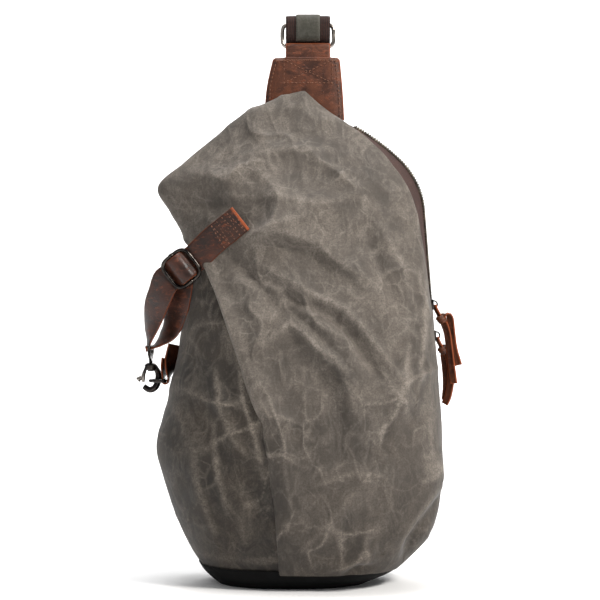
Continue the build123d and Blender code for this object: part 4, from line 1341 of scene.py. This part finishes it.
thong("upper_thong_leather", "upper_thong", "upper_pull", (116.9, 6.5, 237.9), (122.6, 2.2, 225.4),
      [([(122, 1.6, 226), (126.5, 1.2, 229.5), (130, 1.2, 226.5), (131.4, 1.4, 215), (133.5, 2, 200),
         (137.6, 2.2, 185.5)], 6.2),
       ([(124.5, 2.6, 223), (127.8, 3, 213), (129.8, 3, 198), (131.5, 3, 184), (133.4, 3, 169.5)], 6.4)])
thong("lower_thong_leather", "lower_thong", "lower_pull", (119.2, 8.2, 209.8), (124.6, 8.0, 198.4),
      [([(124.8, 7, 199), (128.6, 6.4, 194), (130.6, 6.2, 184), (130.8, 6.4, 170), (128.6, 7, 158),
         (125.8, 7.6, 151.5)], 6.4),
       ([(124.8, 9, 195), (126.4, 9.6, 183), (127.2, 9.8, 168), (126.0, 9.4, 155)], 5.8)])

# %% [markdown]
# ## The hook
# The hook that closes the side strap is die cast: a turned barrel with grooves, a claw that is thicker
# in its middle, two cheeks, and between them a sprung lever with a thumb piece.

# %% Hook


def lathe(profile, centre, sides=28):
    """A closed turned shape: each (radius, height) of the profile carried round a vertical line."""
    r, h = np.asarray(profile, float).T
    turn = np.linspace(0, 2 * np.pi, sides, endpoint=False)[None, :]
    x, y = centre[0] + r[:, None] * np.cos(turn), centre[1] + r[:, None] * np.sin(turn)
    points = np.stack([x, y, np.broadcast_to(h[:, None], x.shape)], axis=-1).reshape(-1, 3)
    return points, grid_faces(len(r), sides, False, True)


HOOK_X = -129.8
barrel = [(0.01, 180.8), (4.2, 180.9), (5.7, 181.8), (5.2, 182.7), (5.8, 183.4), (5.2, 184.2),
          (5.8, 184.9), (5.2, 185.7), (4.2, 186.8), (2.6, 187.4), (0.01, 187.5)]
claw = along([(HOOK_X + 3.4, 8, 184), (HOOK_X + 6.4, 8, 178.5), (HOOK_X + 6.3, 8, 171.5),
              (HOOK_X + 3.6, 8, 165.8), (HOOK_X - 1.2, 8, 164), (HOOK_X - 6.2, 8, 167)], 50)
thick = 2.4 + 0.5 * np.sin(np.linspace(0, np.pi, 50))
cheeks = [tube([(HOOK_X - 5.2, y, 178.2), (HOOK_X - 5.0, y, 181), (HOOK_X - 3.6, y, 184.5)], 1.15, (1, 0, 0))
          for y in (6.0, 10.0)]
points, faces = join([lathe(barrel, (HOOK_X, 8.0)), tube(claw, thick, (0, 1, 0)), *cheeks])
claw_piece = make_piece("hook_claw", points, faces, GUNMETAL, "hook")
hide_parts("hook_body")
lever = along([(HOOK_X - 5.4, 8, 180.6), (HOOK_X - 6.4, 8, 176), (HOOK_X - 6.6, 8, 170.6)], 24)
thumb = along([(HOOK_X - 6.2, 8, 175.4), (HOOK_X - 9.0, 8, 174.2), (HOOK_X - 11.4, 8, 172.4)], 16)
parts = [tube(lever, 1.3 + 0.5 * np.sin(np.linspace(0, np.pi, 24)), (0, 1, 0)),
         tube(thumb, 1.2 + 1.3 * np.linspace(0, 1, 16), (0, 1, 0))]
points, faces = join(parts)
gate_piece = make_piece("hook_lever", points, faces, NICKEL, "gate")
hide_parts("hook_gate")
print("hook points:", len(points))

# %% [markdown]
# ## Parts kept from the frame
# Sliders, bails, the hook's eye and the slide are already the right shape, so they only take their
# metal. The pocket and the stiffener are inside, and they get their own cloth and board.

# %% Lining and board materials


def cotton_lining(name):
    """Plain cotton lining: printed tan, with yarns 1.2 mm apart."""
    material, tree, surface, where = begin(name)
    yarn = stripes(tree, where, 260.0, "X", 0.8)
    patch = noise(tree, where, 40.0, 4.0)
    share = add(tree, "ShaderNodeMath", {0: yarn, 1: patch}, operation="MULTIPLY")
    fill(tree, surface, {"Base Color": mix(tree, share, "4a3c2e", "8a7556"), "Roughness": 0.9})
    return material


def grey_board(name):
    """Pressed fibre board: speckled grey-brown."""
    material, tree, surface, where = begin(name)
    fleck = noise(tree, where, 800.0, 2.0)
    fill(tree, surface, {"Base Color": mix(tree, fleck, "50483c", "80766a"), "Roughness": 0.9})
    return material


LINING, BOARD = cotton_lining("cotton lining"), grey_board("fibre board")
print("inside materials:", LINING.name, "/", BOARD.name)

# %% [markdown]
# The lining is a sack a few millimetres inside the shell, drawn in at its top and bottom.

# %% Kept nodes and the lining sack
KEPT = {GUNMETAL: ["buckle_bar", "hook_eye", "side_d_ring", "strap_adjuster", "upper_slider",
                   "lower_slider", "upper_bail", "lower_bail", "zip_bottom_stop"],
        LINING: ["inner_pocket"], BOARD: ["base_stiffener"], LEATHER: ["yoke_core"]}
for material, names in KEPT.items():
    for name in names:
        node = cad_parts[name]
        for slot in node.material_slots:
            slot.material = material
z = np.linspace(8.0, 412.0, 90)
inner = panel(z, np.zeros(90), np.full(90, 2 * np.pi), 121)[:, :-1]
sack = inner - outward(inner) * 8.5 * np.clip(np.minimum(z - 4, 416 - z) / 20, 0.3, 1)[:, None, None]
foot, head = (np.broadcast_to(end.mean(axis=1, keepdims=True), end.shape) for end in (sack[:1], sack[-1:]))
sack = np.concatenate([foot, sack, head])
lining_sack = make_piece("lining_sack", sack, grid_faces(len(sack), 120, close_columns=True),
                         LINING)
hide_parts("lining")
print("kept nodes:", sum(len(names) for names in KEPT.values()))

# %% [markdown]
# ## Floor and finish
# The floor is a matt white sweep.

# %% Floor


def studio_floor(name):
    """Matt white paper: almost even, with faint cloudy shading."""
    material, tree, surface, where = begin(name)
    cloud = noise(tree, where, 3.0)
    colour = mix(tree, cloud, "fbfbfb", "ffffff")
    fill(tree, surface, {"Base Color": colour, "Roughness": 0.9})
    return material


FLOOR_Z = -0.2


def sweep_shape():
    """A wide sheet: flat on the floor, then rising behind the bag along a quarter circle."""
    u = np.linspace(-6000, 6000, 30)
    bend = np.linspace(0, np.pi / 2, 24)
    y = np.concatenate([[-5000, -1000], 2500 + 1500 * np.sin(bend), [4000]])
    z = np.concatenate([[0, 0], 1500 * (1 - np.cos(bend)), [6000]]) + FLOOR_Z
    return np.stack(np.broadcast_arrays(u[None, :], y[:, None], z[:, None]), axis=-1)


sweep = sweep_shape()
floor_mesh = bpy.data.meshes.new("floor")
floor_mesh.from_pydata((sweep.reshape(-1, 3) * MM).tolist(), [], grid_faces(*sweep.shape[:2]).tolist())
floor_mesh.polygons.foreach_set("use_smooth", np.ones(len(floor_mesh.polygons), bool))
floor_mesh.materials.append(studio_floor("white paper sweep"))
floor_obj = bpy.data.objects.new("floor", floor_mesh)
bpy.context.scene.collection.objects.link(floor_obj)
print("floor", FLOOR_Z, "mm high")
